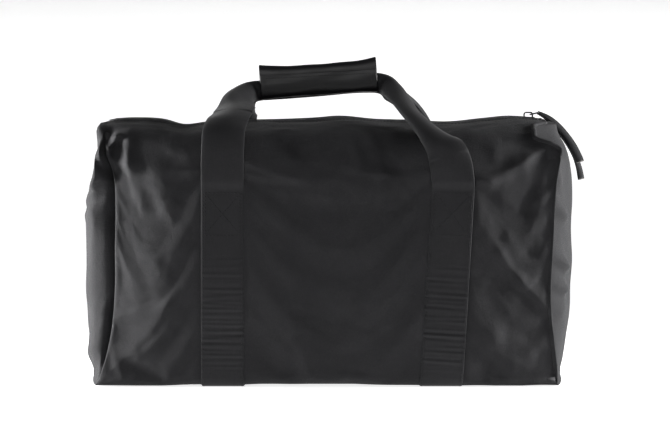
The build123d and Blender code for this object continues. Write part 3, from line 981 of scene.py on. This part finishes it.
def hold_weights(points, index):
    """How firmly the settling cloth is held at each point: 1 at seams, webbing and zip, little elsewhere."""
    x, y, z = points[:, 0], points[:, 1], points[:, 2]
    hold = np.full(len(points), 0.05)
    hold = np.maximum(hold, 0.9 * strap_cover(x, z) * (np.abs(y) > HALF_DEPTH * 0.9))
    hold = np.maximum(hold, 1 - smooth(0.001, 0.006, z))
    hold = np.maximum(hold, 1 - smooth(0.004, 0.016, np.abs(y) + np.where(z > SHOULDER_Z, 0, 1)))
    hold[index[:, 0]] = 1
    hold[index[:, -1]] = 1
    return np.clip(hold, 0, 1)


SETTLING_STEPS = 18
SETTLING_REACH = 0.005  # the furthest that a point may move
# the share of the settling that is kept, in the smooth middle bay and at the sides
MIDDLE_SHARE, SIDE_SHARE = 0.30, 0.45


def settle(points, faces, hold):
    """Lets the cloth, cut a little too large, buckle and sag under air pressure and its weight."""
    obj = new_piece("settling_cloth", points, faces)
    group = obj.vertex_groups.new(name="hold")
    for level in np.unique(np.round(hold, 2)):
        if level > 0:
            ids = np.where(np.round(hold, 2) == level)[0]
            group.add([int(k) for k in ids], float(level), "REPLACE")
    modifier = obj.modifiers.new("cloth", "CLOTH")
    cloth = modifier.settings
    cloth.quality = 6
    cloth.mass = 0.25
    cloth.tension_stiffness = 18
    cloth.compression_stiffness = 18
    cloth.shear_stiffness = 6
    cloth.bending_stiffness = 0.08
    cloth.air_damping = 2
    cloth.shrink_min = -0.009
    cloth.vertex_group_mass = "hold"
    cloth.pin_stiffness = 0.6
    cloth.use_pressure = True
    cloth.uniform_pressure_force = 0.4
    cloth.effector_weights.gravity = 0.1
    modifier.collision_settings.use_collision = False
    for step in range(1, SETTLING_STEPS + 1):
        scene.frame_set(step)
    depsgraph = bpy.context.evaluated_depsgraph_get()
    moved = vertex_places(obj.evaluated_get(depsgraph).to_mesh())
    scene.frame_set(1)
    mesh = obj.data
    bpy.data.objects.remove(obj)
    bpy.data.meshes.remove(mesh)
    shift = moved - points
    far = np.linalg.norm(shift, axis=1, keepdims=True)
    return points + shift * np.minimum(1, SETTLING_REACH / np.maximum(far, 1e-9))


def follow_mouth(obj):
    """Bakes obj's placement into its mesh points."""
    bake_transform(obj)


def panel_uv(points, panel):
    """Cloth coordinates of a panel, in metres."""
    if panel in (3, 4):
        return points[:, [1, 2]]
    y, z = points[:, 1], points[:, 2]
    if panel == 2:
        return points[:, [0, 1]]
    return np.stack([points[:, 0], z - np.minimum(HALF_DEPTH - np.abs(y), HALF_DEPTH)], 1)


def make_panels():
    """Settles the body and cuts it into its panels."""
    points, faces, panels, index = closed_body()
    settled = settle(points, faces, hold_weights(points, index))
    share = MIDDLE_SHARE + (SIDE_SHARE - MIDDLE_SHARE) * smooth(0.09, 0.17, np.abs(points[:, 0]))
    points = points + (settled - points) * share[:, None]
    points[:, 2] = np.maximum(points[:, 2], BASE_Z)
    left_limit = along(OUTLINE_HEIGHTS, LEFT_OUTLINE, points[:, 2]) + 0.001
    right_limit = along(OUTLINE_HEIGHTS, RIGHT_OUTLINE, points[:, 2]) + 0.001
    points[:, 0] = np.clip(points[:, 0], -left_limit, right_limit)
    body_tree = BVHTree.FromPolygons([Vector(p) for p in points], [list(map(int, f)) for f in faces])
    specs = [
        ("front_cloth", 0, ("front_panel", "front_mouth_flap")),
        ("back_cloth", 1, ("back_panel", "back_mouth_flap")),
        ("base_cloth", 2, ("base_panel",)),
        ("left_end_cloth", 3, ("left_end_panel",)),
        ("right_end_cloth", 4, ("right_end_panel",)),
    ]
    for name, panel, nodes in specs:
        chosen = faces[panels == panel]
        used, local = np.unique(chosen, return_inverse=True)
        cut = points[used].copy()
        if panel in (0, 1):
            part_at_zip(cut, used, index, -1 if panel == 0 else 1)
        quads, uv = local.reshape(chosen.shape), panel_uv(cut, panel)
        piece = new_piece(name, cut, quads, None, NYLON, "nylon_cloth", uv)
        subdivide(piece)
        thicken(piece, CLOTH_THICKNESS)
        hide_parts(*nodes)
        if panel in (0, 1):
            follow_mouth(piece)
        else:
            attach(piece, "bag")
    return points, index, body_tree


def part_at_zip(cut, used, index, side):
    """Moves the three rows of cloth nearest the zip back from it, the edge row the most and less near the
    zip's ends.
    """
    place = {int(k): n for n, k in enumerate(used)}
    rows = index if side < 0 else index[::-1]
    for row, back_off in zip(rows, (0.0052, 0.0034, 0.0012)):
        for k in row:
            n = place.get(int(k))
            if n is not None:
                open_here = min(1.0, max(0.0, (RIDGE_END_X - abs(cut[n, 0])) / 0.02))
                cut[n, 1] += side * back_off * open_here


body_points, body_index, body_tree = make_panels()


def wall_y(x, z, back):
    """Where the outside of a wall is, at x and z."""
    side = 1 if back else -1
    hit = body_tree.ray_cast(Vector((x, side * 0.3, z)), Vector((0, -side, 0)))[0]
    return side * HALF_DEPTH if hit is None else hit.y


# ---- stitches


def stitch_mesh(lines, pitch=0.0042, length=0.0028, radius=0.00037):
    """Points and faces of little thread bars along lines of (places, outward directions)."""
    points, faces = [], []
    around = np.linspace(0, 2 * math.pi, 6, endpoint=False)
    profile = [(-0.5, 0.25), (-0.3, 0.9), (0.3, 0.9), (0.5, 0.25)]
    for places, outward in lines:
        count = max(int(distances(places)[-1] / pitch), 1)
        both = resample(np.hstack([places, outward]), count * 2 + 1)
        for k in range(count):
            a, middle, b = both[2 * k], both[2 * k + 1], both[2 * k + 2]
            way = unit(b[:3] - a[:3])
            out = unit(middle[3:])
            wide = np.cross(way, out)
            start = len(points)
            for t, r in profile:
                centre = middle[:3] + way * t * length
                for angle in around:
                    spoke = wide * math.cos(angle) * 1.25 + out * math.sin(angle)
                    points.append(centre + spoke * r * radius)
            faces.extend(capped_tube_faces(len(profile), len(around), start))
    return points, faces


def sew(name, lines, body=None, slot="nylon_cloth", **options):
    points, faces = stitch_mesh(lines, **options)
    return new_piece(name, points, faces, body, THREAD, slot)


# ---- webbing and handles

WEBBING_THICKNESS = 0.0014
STRAP_COLUMNS = 15
GRIP_TILT = math.radians(4)
GRIP_CENTRE = np.array((wrap_low + wrap_high) / 2) + [0, 0, 0.0028]

# the free part of the front handle, from the top of one leg's stitching to the other:
# place, direction across, how far it is folded lengthwise (degrees)
HANDLE_STATIONS = [
    ((-124, -143.5, 240), (1, 0, 0), 0),
    ((-124, -144.5, 262), (1, 0, 0), 6),
    ((-123.5, -144, 284), (1, 0, 0), 14),
    ((-123, -137, 302), (1, 0, 0), 24),
    ((-120, -123, 315), (1, -0.05, -0.05), 36),
    ((-116, -103, 325.5), (1, -0.15, 0.0), 52),
    ((-111.5, -76, 336.5), (0.97, -0.3, -0.1), 80),
    ((-106, -50, 347), (0.85, -0.2, -0.5), 130),
    ((-97.5, -26, 355.5), (0.5, -0.2, -0.8), 205),
    ((-86, -10, 358), (0.1, 0, -1), 242),
    ((-74, -8, 358.5), (0, 0, -1), 245),
    ((-13, -8, 363), (0, 0, -1), 245),
    ((46, -8, 367.5), (0, 0, -1), 245),
    ((62, -10, 367.5), (-0.2, 0, -1), 240),
    ((75, -26, 361.5), (-0.6, -0.3, -0.7), 245),
    ((88, -52, 347.5), (-0.7, -0.55, -0.35), 248),
    ((101, -84, 329), (-0.72, -0.65, -0.15), 236),
    ((115, -110, 311.5), (-0.8, -0.5, -0.15), 205),
    ((126.5, -128, 297), (-0.9, -0.25, -0.15), 155),
    ((137, -140, 281), (-0.95, 0, -0.2), 90),
    ((143, -144.5, 262), (-1, 0, -0.05), 30),
    ((145.8, -143.5, 240), (-1, 0, 0), 0),
]


def leg_places(centre_at, back, upwards):
    """The stitched leg of webbing on a wall: middle of the strap at each height, lying on the cloth."""
    side = 1 if back else -1
    heights = np.linspace(0.012, STITCH_TOP - 0.002, 56)
    rows = []
    for z in heights:
        middle = centre_at(z)
        across = np.array([-1, -0.5, 0, 0.5, 1]) * 0.46
        hits = [wall_y(middle + w * WEBBING_WIDTH, z, back) * side for w in across]
        rows.append((middle, side * (max(hits) * 0.6 + np.mean(hits) * 0.4), z))
    rows = np.array(rows)
    kernel = np.ones(5) / 5
    padded = np.pad(rows[:, 1], 2, mode="edge")
    rows[:, 1] = np.convolve(padded, kernel, mode="valid") + side * WEBBING_THICKNESS * 0.6
    foot = []
    radius = BOTTOM_RADIUS
    foot_y = rows[0, 1]
    for angle in np.linspace(80, 0, 7):
        a = math.radians(angle)
        foot.append((centre_at(0), foot_y - side * radius * (1 - math.cos(a)), 0.0111 - radius * math.sin(a)))
    under = [(centre_at(0), side * y, 0.0011) for y in np.linspace(0.0, abs(foot_y) - radius, 12)]
    path = np.array(under + foot[:-1] + [tuple(r) for r in rows])
    return path if upwards else path[::-1]


def strap_frame(path, across_hint):
    """Across and outward directions along a path, from rough directions across."""
    way = unit(np.gradient(path, axis=0))
    across = unit(across_hint - way * np.sum(across_hint * way, axis=1, keepdims=True))
    return across, unit(np.cross(across, way))


PUCKER = 0.0012  # height of the puckers low on the sewn webbing


def ripple(run, w, seed):
    """Small puckers across the webbing where it is sewn down."""
    rng = np.random.default_rng(seed)
    total = np.zeros_like(w)
    for _ in range(5):
        wave, phase, lean = rng.uniform(0.0042, 0.010), rng.uniform(0, 6.28), rng.uniform(-0.3, 0.3)
        total += np.sin(2 * math.pi * run / wave + phase + lean * w * 3)
    return total / 5


def make_webbing(back):
    """One webbing loop: under the base, up a leg, round the handle, down the other leg and under again."""
    side = 1 if back else -1
    left = leg_places(lambda z: LEFT_X, back, True)
    right = leg_places(lambda z: float(strap_centre(z)), back, False)
    rows = []
    for (x, y, z), across, fold in HANDLE_STATIONS:
        rows.append([x * MM, y * MM * -side, z * MM, across[0], across[1] * -side, across[2], fold])
    if back:
        # the back legs spread a little wider, the right one most
        for row in rows:
            spread = smooth(0.02, 0.07, abs(row[1])) * smooth(0.145, 0.09, abs(row[1]))
            row[0] += spread * (0.020 if row[0] > 0 else -0.004)
    free = catmull(rows, 90)
    left_rows = np.hstack([left, np.tile([1, 0, 0, 0], (len(left), 1))])
    right_rows = np.hstack([right, np.tile([-1, 0, 0, 0], (len(right), 1))])
    every = np.vstack([left_rows, free, right_rows])
    every = resample(every, 860)
    for column in (0, 1, 2):
        every[:, column] = soften(every[:, column], 6)
    path, fold = every[:, :3], np.radians(every[:, 6])
    across, outward = strap_frame(path, every[:, 3:6])
    if outward[len(outward) // 4].dot([0, side, 0]) < 0:
        outward = -outward
    run = distances(path)
    sewn = (path[:, 2] < STITCH_TOP) & (path[:, 2] > 0.01)
    lower = smooth(STITCH_TOP - 0.05, 0.06, path[:, 2]) * sewn * smooth(0.012, 0.03, path[:, 2])

    def shape(i, w):
        bend = max(fold[i], 1e-3)
        radius = WEBBING_WIDTH / bend
        sideways = radius * np.sin(w * bend / 2)
        inward = radius * (1 - np.cos(w * bend / 2)) * (0.55 if bend > 1 else 0.8)
        pucker = PUCKER * lower[i] * ripple(run[i], w, 31 if path[i, 0] < 0 else 32)
        return sideways, -inward + pucker

    name, handle = sided("webbing", back), sided("handle", back)
    sizes = (np.full(len(path), WEBBING_WIDTH), WEBBING_THICKNESS, STRAP_COLUMNS)
    strap = strap_mesh(name, path, across, outward, *sizes, shape, material=WEBBING, slot="webbing")
    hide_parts(handle, "left_webbing_band", "right_webbing_band")
    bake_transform(strap)
    return path, across, outward


def soften(values, passes):
    """Rounds off a row of values by averaging each with its neighbours."""
    for _ in range(passes):
        values = np.r_[values[0], (values[:-2] + 2 * values[1:-1] + values[2:]) / 4, values[-1]]
    return values


BOX_MARGIN, BOX_HEIGHT = 0.006, 0.050  # the stitched box below the top of each leg's stitching


def sew_webbing(path, across, outward, back):
    """Edge stitching along both legs, and a box with a cross at the top of each."""
    lines = []
    lift = WEBBING_THICKNESS * 0.55
    half = WEBBING_WIDTH / 2
    for is_left in (True, False):
        leg = (path[:, 0] < 0) == is_left
        leg &= path[:, 2] < STITCH_TOP - BOX_MARGIN
        places, side, out = path[leg], across[leg], outward[leg]
        if not is_left:
            places, side, out = places[::-1], side[::-1], out[::-1]
        for w in (-0.90, 0.90):
            lines.append((places + side * half * w + out * lift, out))
        z = places[:, 2]

        def at(height, w):
            k = np.argmin(np.abs(z - height) + (places[:, 2] < 0.02))
            t = (height - z[k]) / max(abs(z[min(k + 1, len(z) - 1)] - z[k]), 1e-6)
            neighbour = min(k + 1, len(z) - 1)
            spot = places[k] + (places[neighbour] - places[k]) * np.clip(t, -1, 1)
            return spot + side[k] * half * w + out[k] * lift, out[k]

        top = STITCH_TOP - BOX_MARGIN
        low = top - BOX_HEIGHT
        for (h0, w0), (h1, w1) in (
            ((top, -0.86), (top, 0.86)),
            ((low, -0.86), (low, 0.86)),
            ((top, -0.86), (low, 0.86)),
            ((top, 0.86), (low, -0.86)),
            ((top - 0.003, -0.8), (low + 0.003, -0.8)),
            ((top - 0.003, 0.8), (low + 0.003, 0.8)),
        ):
            steps = [at(h0 + (h1 - h0) * t, w0 + (w1 - w0) * t) for t in np.linspace(0, 1, 14)]
            lines.append((np.array([s[0] for s in steps]), np.array([s[1] for s in steps])))
    sew(sided("webbing_stitches", back), lines, "bag", "webbing")


for is_back in (False, True):
    sew_webbing(*make_webbing(is_back), is_back)


# ---- the zip

COIL_PITCH = 0.0019
COIL_STEPS_PER_TURN = 10
COIL_RING = 6
COIL_WIRE = 0.00046  # radius
ZIP_STITCH_ROWS = (0.0105, 0.0165)  # distances from the middle of the zip


def zip_line(count, offset, side, drop=0.0):
    """Points along one side of the zip, offset from its middle, following the top edge of the cloth."""
    x = np.linspace(-RIDGE_END_X + 0.003, RIDGE_END_X - 0.003, count)
    z = along(RIDGE_KNOTS, RIDGE_HEIGHTS, x) - drop
    return np.stack([x, np.full(count, side * offset), z], 1)


def make_tape(back):
    """The zip tape: it shows between the cloth's edge and the coil, and lies under the cloth beyond."""
    side = 1 if back else -1
    count = 200
    offsets = [0.0014, 0.0030, 0.0055, 0.0085, 0.0140, 0.0200]
    drops = [0.0007, 0.0006, 0.0014, 0.0040, 0.0062, 0.0082]
    grid = np.array([zip_line(count, o, side, d) for o, d in zip(offsets, drops)])
    faces = grid_faces(len(offsets), count)
    if back:
        faces = [f[::-1] for f in faces]
    tape = new_piece(sided("tape", back), grid.reshape(-1, 3), faces, None, TAPE, "zip_cloth")
    thicken(tape, TAPE_THICKNESS)
    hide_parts(sided("zip_tape", back), "left_zip_end", "right_zip_end")
    follow_mouth(tape)


def make_coil(back):
    """One half of the coil: a flattened spiral of plastic wire whose loops mesh with the other half's."""
    side = 1 if back else -1
    x0, x1 = -RIDGE_END_X + 0.006, RIDGE_END_X - 0.006
    turns = int((x1 - x0) / COIL_PITCH)
    t = np.arange(turns * COIL_STEPS_PER_TURN) / COIL_STEPS_PER_TURN
    angle = 2 * math.pi * t
    shift = 0.5 if back else 0.0
    x = x0 + (t + shift) * COIL_PITCH
    y = side * (0.0012 + 0.0017 * np.cos(angle))
    base = along(RIDGE_KNOTS, RIDGE_HEIGHTS, x)
    z = base + 0.0004 + 0.0011 * np.sin(angle)
    centre = np.stack([x, y, z], 1)
    grid = tube(centre, [1.0, 0, 0], COIL_WIRE, COIL_RING)
    faces = grid_faces(len(centre), COIL_RING, close_columns=True)
    coil = new_piece(sided("coil", back), grid.reshape(-1, 3), faces, None, COIL, "zip_coil")
    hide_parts(sided("zip_coil", back))
    follow_mouth(coil)


def zip_stitches(back):
    """Two rows of stitching through the cloth beside the zip."""
    side = 1 if back else -1
    rows = []
    for distance in ZIP_STITCH_ROWS:
        places, outward = [], []
        for x in np.linspace(-RIDGE_END_X + 0.012, RIDGE_END_X - 0.012, 240):
            hit, normal, _, _ = body_tree.ray_cast(Vector((x, side * distance, 0.4)), Vector((0, 0, -1)))
            if hit is None:
                continue
            normal = np.array(normal) * (1 if normal.z > 0 else -1)
            places.append(np.array(hit) + normal * 0.0003)
            outward.append(normal)
        rows.append((np.array(places), np.array(outward)))
    follow_mouth(sew(sided("zip_stitches", back), rows))


for is_back in (False, True):
    make_tape(is_back)
    make_coil(is_back)
    zip_stitches(is_back)

paint_nodes(METAL, "zip_slider", "zip_pull_ring", "left_zip_stop", "right_zip_stop")


# ---- seams and their bindings


def make_seam(name, column, side):
    """The bound seam allowance inside the end seam: a narrow folded tape that stands inwards."""
    loop = body_points[body_index[:-1, column]]
    keep = np.abs(loop[:, 1]) + np.where(loop[:, 2] > 0.3, 0, 1) > 0.026
    start = np.argmax(keep)
    loop = loop[start:len(loop) - start]
    inward = unit(([0, 0, 0.16] - loop) * [0, 1, 1])
    rows = []
    for reach, out in ((0.002, 0.0022), (0.011, 0.0026), (0.0118, 0.0036), (0.011, 0.0046), (0.002, 0.0042)):
        rows.append(loop + inward * out + np.array([-side * reach, 0, 0]))
    grid = np.array(rows)
    faces = grid_faces(grid.shape[0], grid.shape[1], close_rows=True)
    binding = new_piece(name, grid.reshape(-1, 3), faces, "bag", BINDING, "binding_cloth")
    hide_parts("left_seam_binding" if side < 0 else "right_seam_binding")


def make_ridge(name, column, first, last, radius, outward):
    """The rolled edge of cloth that stands out along an end seam."""
    steps, ring = 120, 10
    line = resample(body_points[body_index[first:last + 1, column]], steps)
    line = line + np.array(outward)
    fade = np.minimum(1, np.minimum(np.arange(steps), np.arange(steps)[::-1]) / 6 + 0.1)
    radii = radius * fade * (1 + 0.16 * wobble(line[:, 2], line[:, 1], 0.03, 51 + column))
    grid = tube(line, [0.3, 1.0, 0.2], radii, ring)
    faces = grid_faces(steps, ring, close_columns=True)
    uv = np.stack(np.meshgrid(np.linspace(0, 0.006, ring), line[:, 2]), 2).reshape(-1, 2)
    new_piece(name, grid.reshape(-1, 3), faces, "bag", NYLON, "nylon_cloth", uv)


make_ridge("right_front_seam", COLUMNS - 1, SHOULDER_ROW - 3, FOOT_ROW, 0.0013, (0.0004, -0.0006, 0))
make_ridge("right_corner_fold", COLUMNS - 1, 9, SHOULDER_ROW + 2, 0.0026, (0.0002, -0.0008, 0.0012))
make_ridge("right_back_seam", COLUMNS - 1, BACK_FOOT_ROW, BACK_SHOULDER_ROW, 0.0013, (0.0004, 0.0006, 0))
make_ridge("left_back_seam", 0, BACK_FOOT_ROW, BACK_SHOULDER_ROW, 0.0013, (-0.0004, 0.0006, 0))
make_seam("left_binding_tape", 0, -1)
make_seam("right_binding_tape", COLUMNS - 1, 1)


# ---- the grip

GRIP_LENGTH = (wrap_high.x - wrap_low.x) * 0.985
LEATHER_THICKNESS = 0.0016
# the leather seen from the grip's end, as (y, z) in mm: the sleeve round both handles and the front flap
SLEEVE_OUTLINE = [
    (-12.2, -13), (-12.8, -4), (-12.7, 5), (-12.0, 11), (-9.8, 16.0), (-5.2, 19.0), (0.4, 19.6),
    (5.2, 18.4), (9.2, 15.0), (11.6, 10), (12.6, 4), (12.8, -6), (11.6, -13), (7.5, -17.6), (1, -18.8),
    (-6, -17.8), (-10.4, -15.2),
]
FLAP_OUTLINE = [
    (-3, -19.8), (-9.4, -19.4), (-13.6, -16.8), (-15.6, -12.4), (-16.3, -7.0), (-16.0, 0.5), (-15.0, 7.0),
]


def tilt(points):
    """From the grip's own level frame to its place on the handles."""
    c, s = math.cos(GRIP_TILT), math.sin(GRIP_TILT)
    x, y, z = points[..., 0], points[..., 1], points[..., 2]
    return np.stack([x * c - z * s, y, x * s + z * c], -1) + GRIP_CENTRE


def leather_tube(outline, half_length, flare, seed):
    """A sheet of leather bent round an outline (y, z in mm) and drawn out along the grip."""
    outline = catmull([(0, y, z) for y, z in outline], 60)[:, 1:] * MM
    x = np.linspace(-half_length, half_length, 64)
    grid = np.zeros((len(x), len(outline), 3))
    for i, place in enumerate(x):
        edge = abs(place) / half_length
        swell = 1 + flare * edge**6 - 0.03 * math.cos(place / half_length * 2.2)
        uneven = 0.0005 * wobble(np.full(len(outline), place), np.linspace(0, 0.1, len(outline)), 0.06, seed)
        direction = unit(outline)
        grid[i, :, 0] = place
        grid[i, :, 1:] = outline * swell + direction * uneven[:, None]
    faces = grid_faces(len(x), len(outline))
    return grid, faces


def leather_piece(name, grid, faces, body, node):
    """One layer of the grip's leather, in place of its CAD node."""
    piece = new_piece(name, tilt(grid).reshape(-1, 3), faces, body, LEATHER, "grip_leather")
    thicken(piece, LEATHER_THICKNESS, 0)
    subdivide(piece)
    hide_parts(node)


def make_grip():
    """The leather sleeve and the flap that closes over its front."""
    half = GRIP_LENGTH / 2
    grid, faces = leather_tube(SLEEVE_OUTLINE, half, 0.05, 41)
    # the top edge dips in the middle and rises at both ends
    rise = (np.abs(grid[..., 0]) / half) ** 4 * smooth(0.008, 0.02, grid[..., 2]) * 0.0022
    grid[..., 2] += rise - 0.0012 * smooth(0.01, 0.02, grid[..., 2])
    leather_piece("grip_sleeve", grid, faces, "back_handle", "grip_wrap")
    grid, faces = leather_tube(FLAP_OUTLINE, half * 0.99, 0.035, 43)
    # its free edge slopes down a little towards the right
    edge = smooth(-0.014, 0.006, grid[..., 2])
    grid[..., 2] -= edge * 0.0012 * grid[..., 0] / half
    leather_piece("grip_front_flap", grid, faces, "grip_flap", "grip_flap")
    flap_lines = []
    rims = [tilt(grid[3:-3, column]) for column in (6, 52)] + [tilt(grid[row, 8:54]) for row in (3, -4)]
    for places in rims:
        outward = np.tile([0.0, -1.0, 0.0], (len(places), 1))
        flap_lines.append((places + outward * 0.001, outward))
    fine = dict(pitch=0.0036, length=0.0024, radius=0.0003)
    sew("grip_flap_stitches", flap_lines, "grip_flap", "grip_leather", **fine)


make_grip()
paint_nodes(PILE, "grip_loop_patch", "grip_hook_patch")


# ---- stage and light


FLOOR_FRONT_Y, FLOOR_HALF_WIDTH = -4.5, 5
BEND_Y, BEND_RADIUS, BACKDROP_TOP = 4.0, 1.0, 4.0


def make_stage():
    """A pale floor that turns up into a backdrop behind the bag."""
    profile = [(FLOOR_FRONT_Y, 0), (BEND_Y, 0)]
    for a in np.linspace(0, math.pi / 2, 14):
        profile.append((BEND_Y + BEND_RADIUS * math.sin(a), BEND_RADIUS - BEND_RADIUS * math.cos(a)))
    profile.append((BEND_Y + BEND_RADIUS, BACKDROP_TOP))
    points = [(x, y, z) for y, z in profile for x in (-FLOOR_HALF_WIDTH, FLOOR_HALF_WIDTH)]
    faces = [[2 * k, 2 * k + 1, 2 * k + 3, 2 * k + 2] for k in range(len(profile) - 1)]
    m = Nodes("backdrop", roughness=0.9)
    mottle = m.noise(m.coordinates(), 3.0, 2.0)
    colour = m.ramp(mottle, [(0.0, (0.76, 0.76, 0.76)), (1.0, (0.80, 0.80, 0.80))])
    height = m.node("ShaderNodeSeparateXYZ")
    m.link(m.coordinates((1, 1, 0.5)), height)
    glow = m.ramp(height.outputs[2], [(0.0, (1, 1, 1)), (0.42, (1, 1, 1)), (0.75, (0.1, 0.1, 0.1))])
    m.tree.links.new(glow, m.shader.inputs["Emission Color"])
    # the floor in front of the bag glows less than what stands behind it
    behind = m.map_range((-1.1, -0.3), (0.10, 0.82))
    m.link(height, behind, 1)
    m.link(behind, m.shader, 0, "Emission Strength")
    floor = new_piece("backdrop", points, faces, None, m.finish(colour))


def area_light(name, place, aim, size, power):
    """A rectangular soft box that points at a place."""
    data = bpy.data.lights.new(name, "AREA")
    data.shape = "RECTANGLE"
    data.size, data.size_y = size
    data.energy = power
    light = bpy.data.objects.new(name, data)
    light.location = place
    light.rotation_euler = (Vector(aim) - Vector(place)).to_track_quat("-Z", "Y").to_euler()
    scene.collection.objects.link(light)


def make_lights():
    """Two soft boxes at the sides, a weak one in front, and a dim room round the bright backdrop."""
    area_light("left_box", (-1.4, -0.02, 0.18), (0, -0.1, 0.14), (0.3, 0.6), 72)
    area_light("right_box", (1.4, -0.02, 0.5), (0, -0.1, 0.18), (0.3, 0.8), 40)
    area_light("front_fill", (-0.3, -2.2, 1.5), (0, 0, 0.2), (1.6, 0.8), 13)
    world = bpy.data.worlds.new("room")
    scene.world = world
    world.use_nodes = True
    background = world.node_tree.nodes["Background"]
    background.inputs["Color"].default_value = (1, 1, 1, 1)
    background.inputs["Strength"].default_value = 0.06


make_stage()
make_lights()
scene.view_settings.view_transform = "Standard"
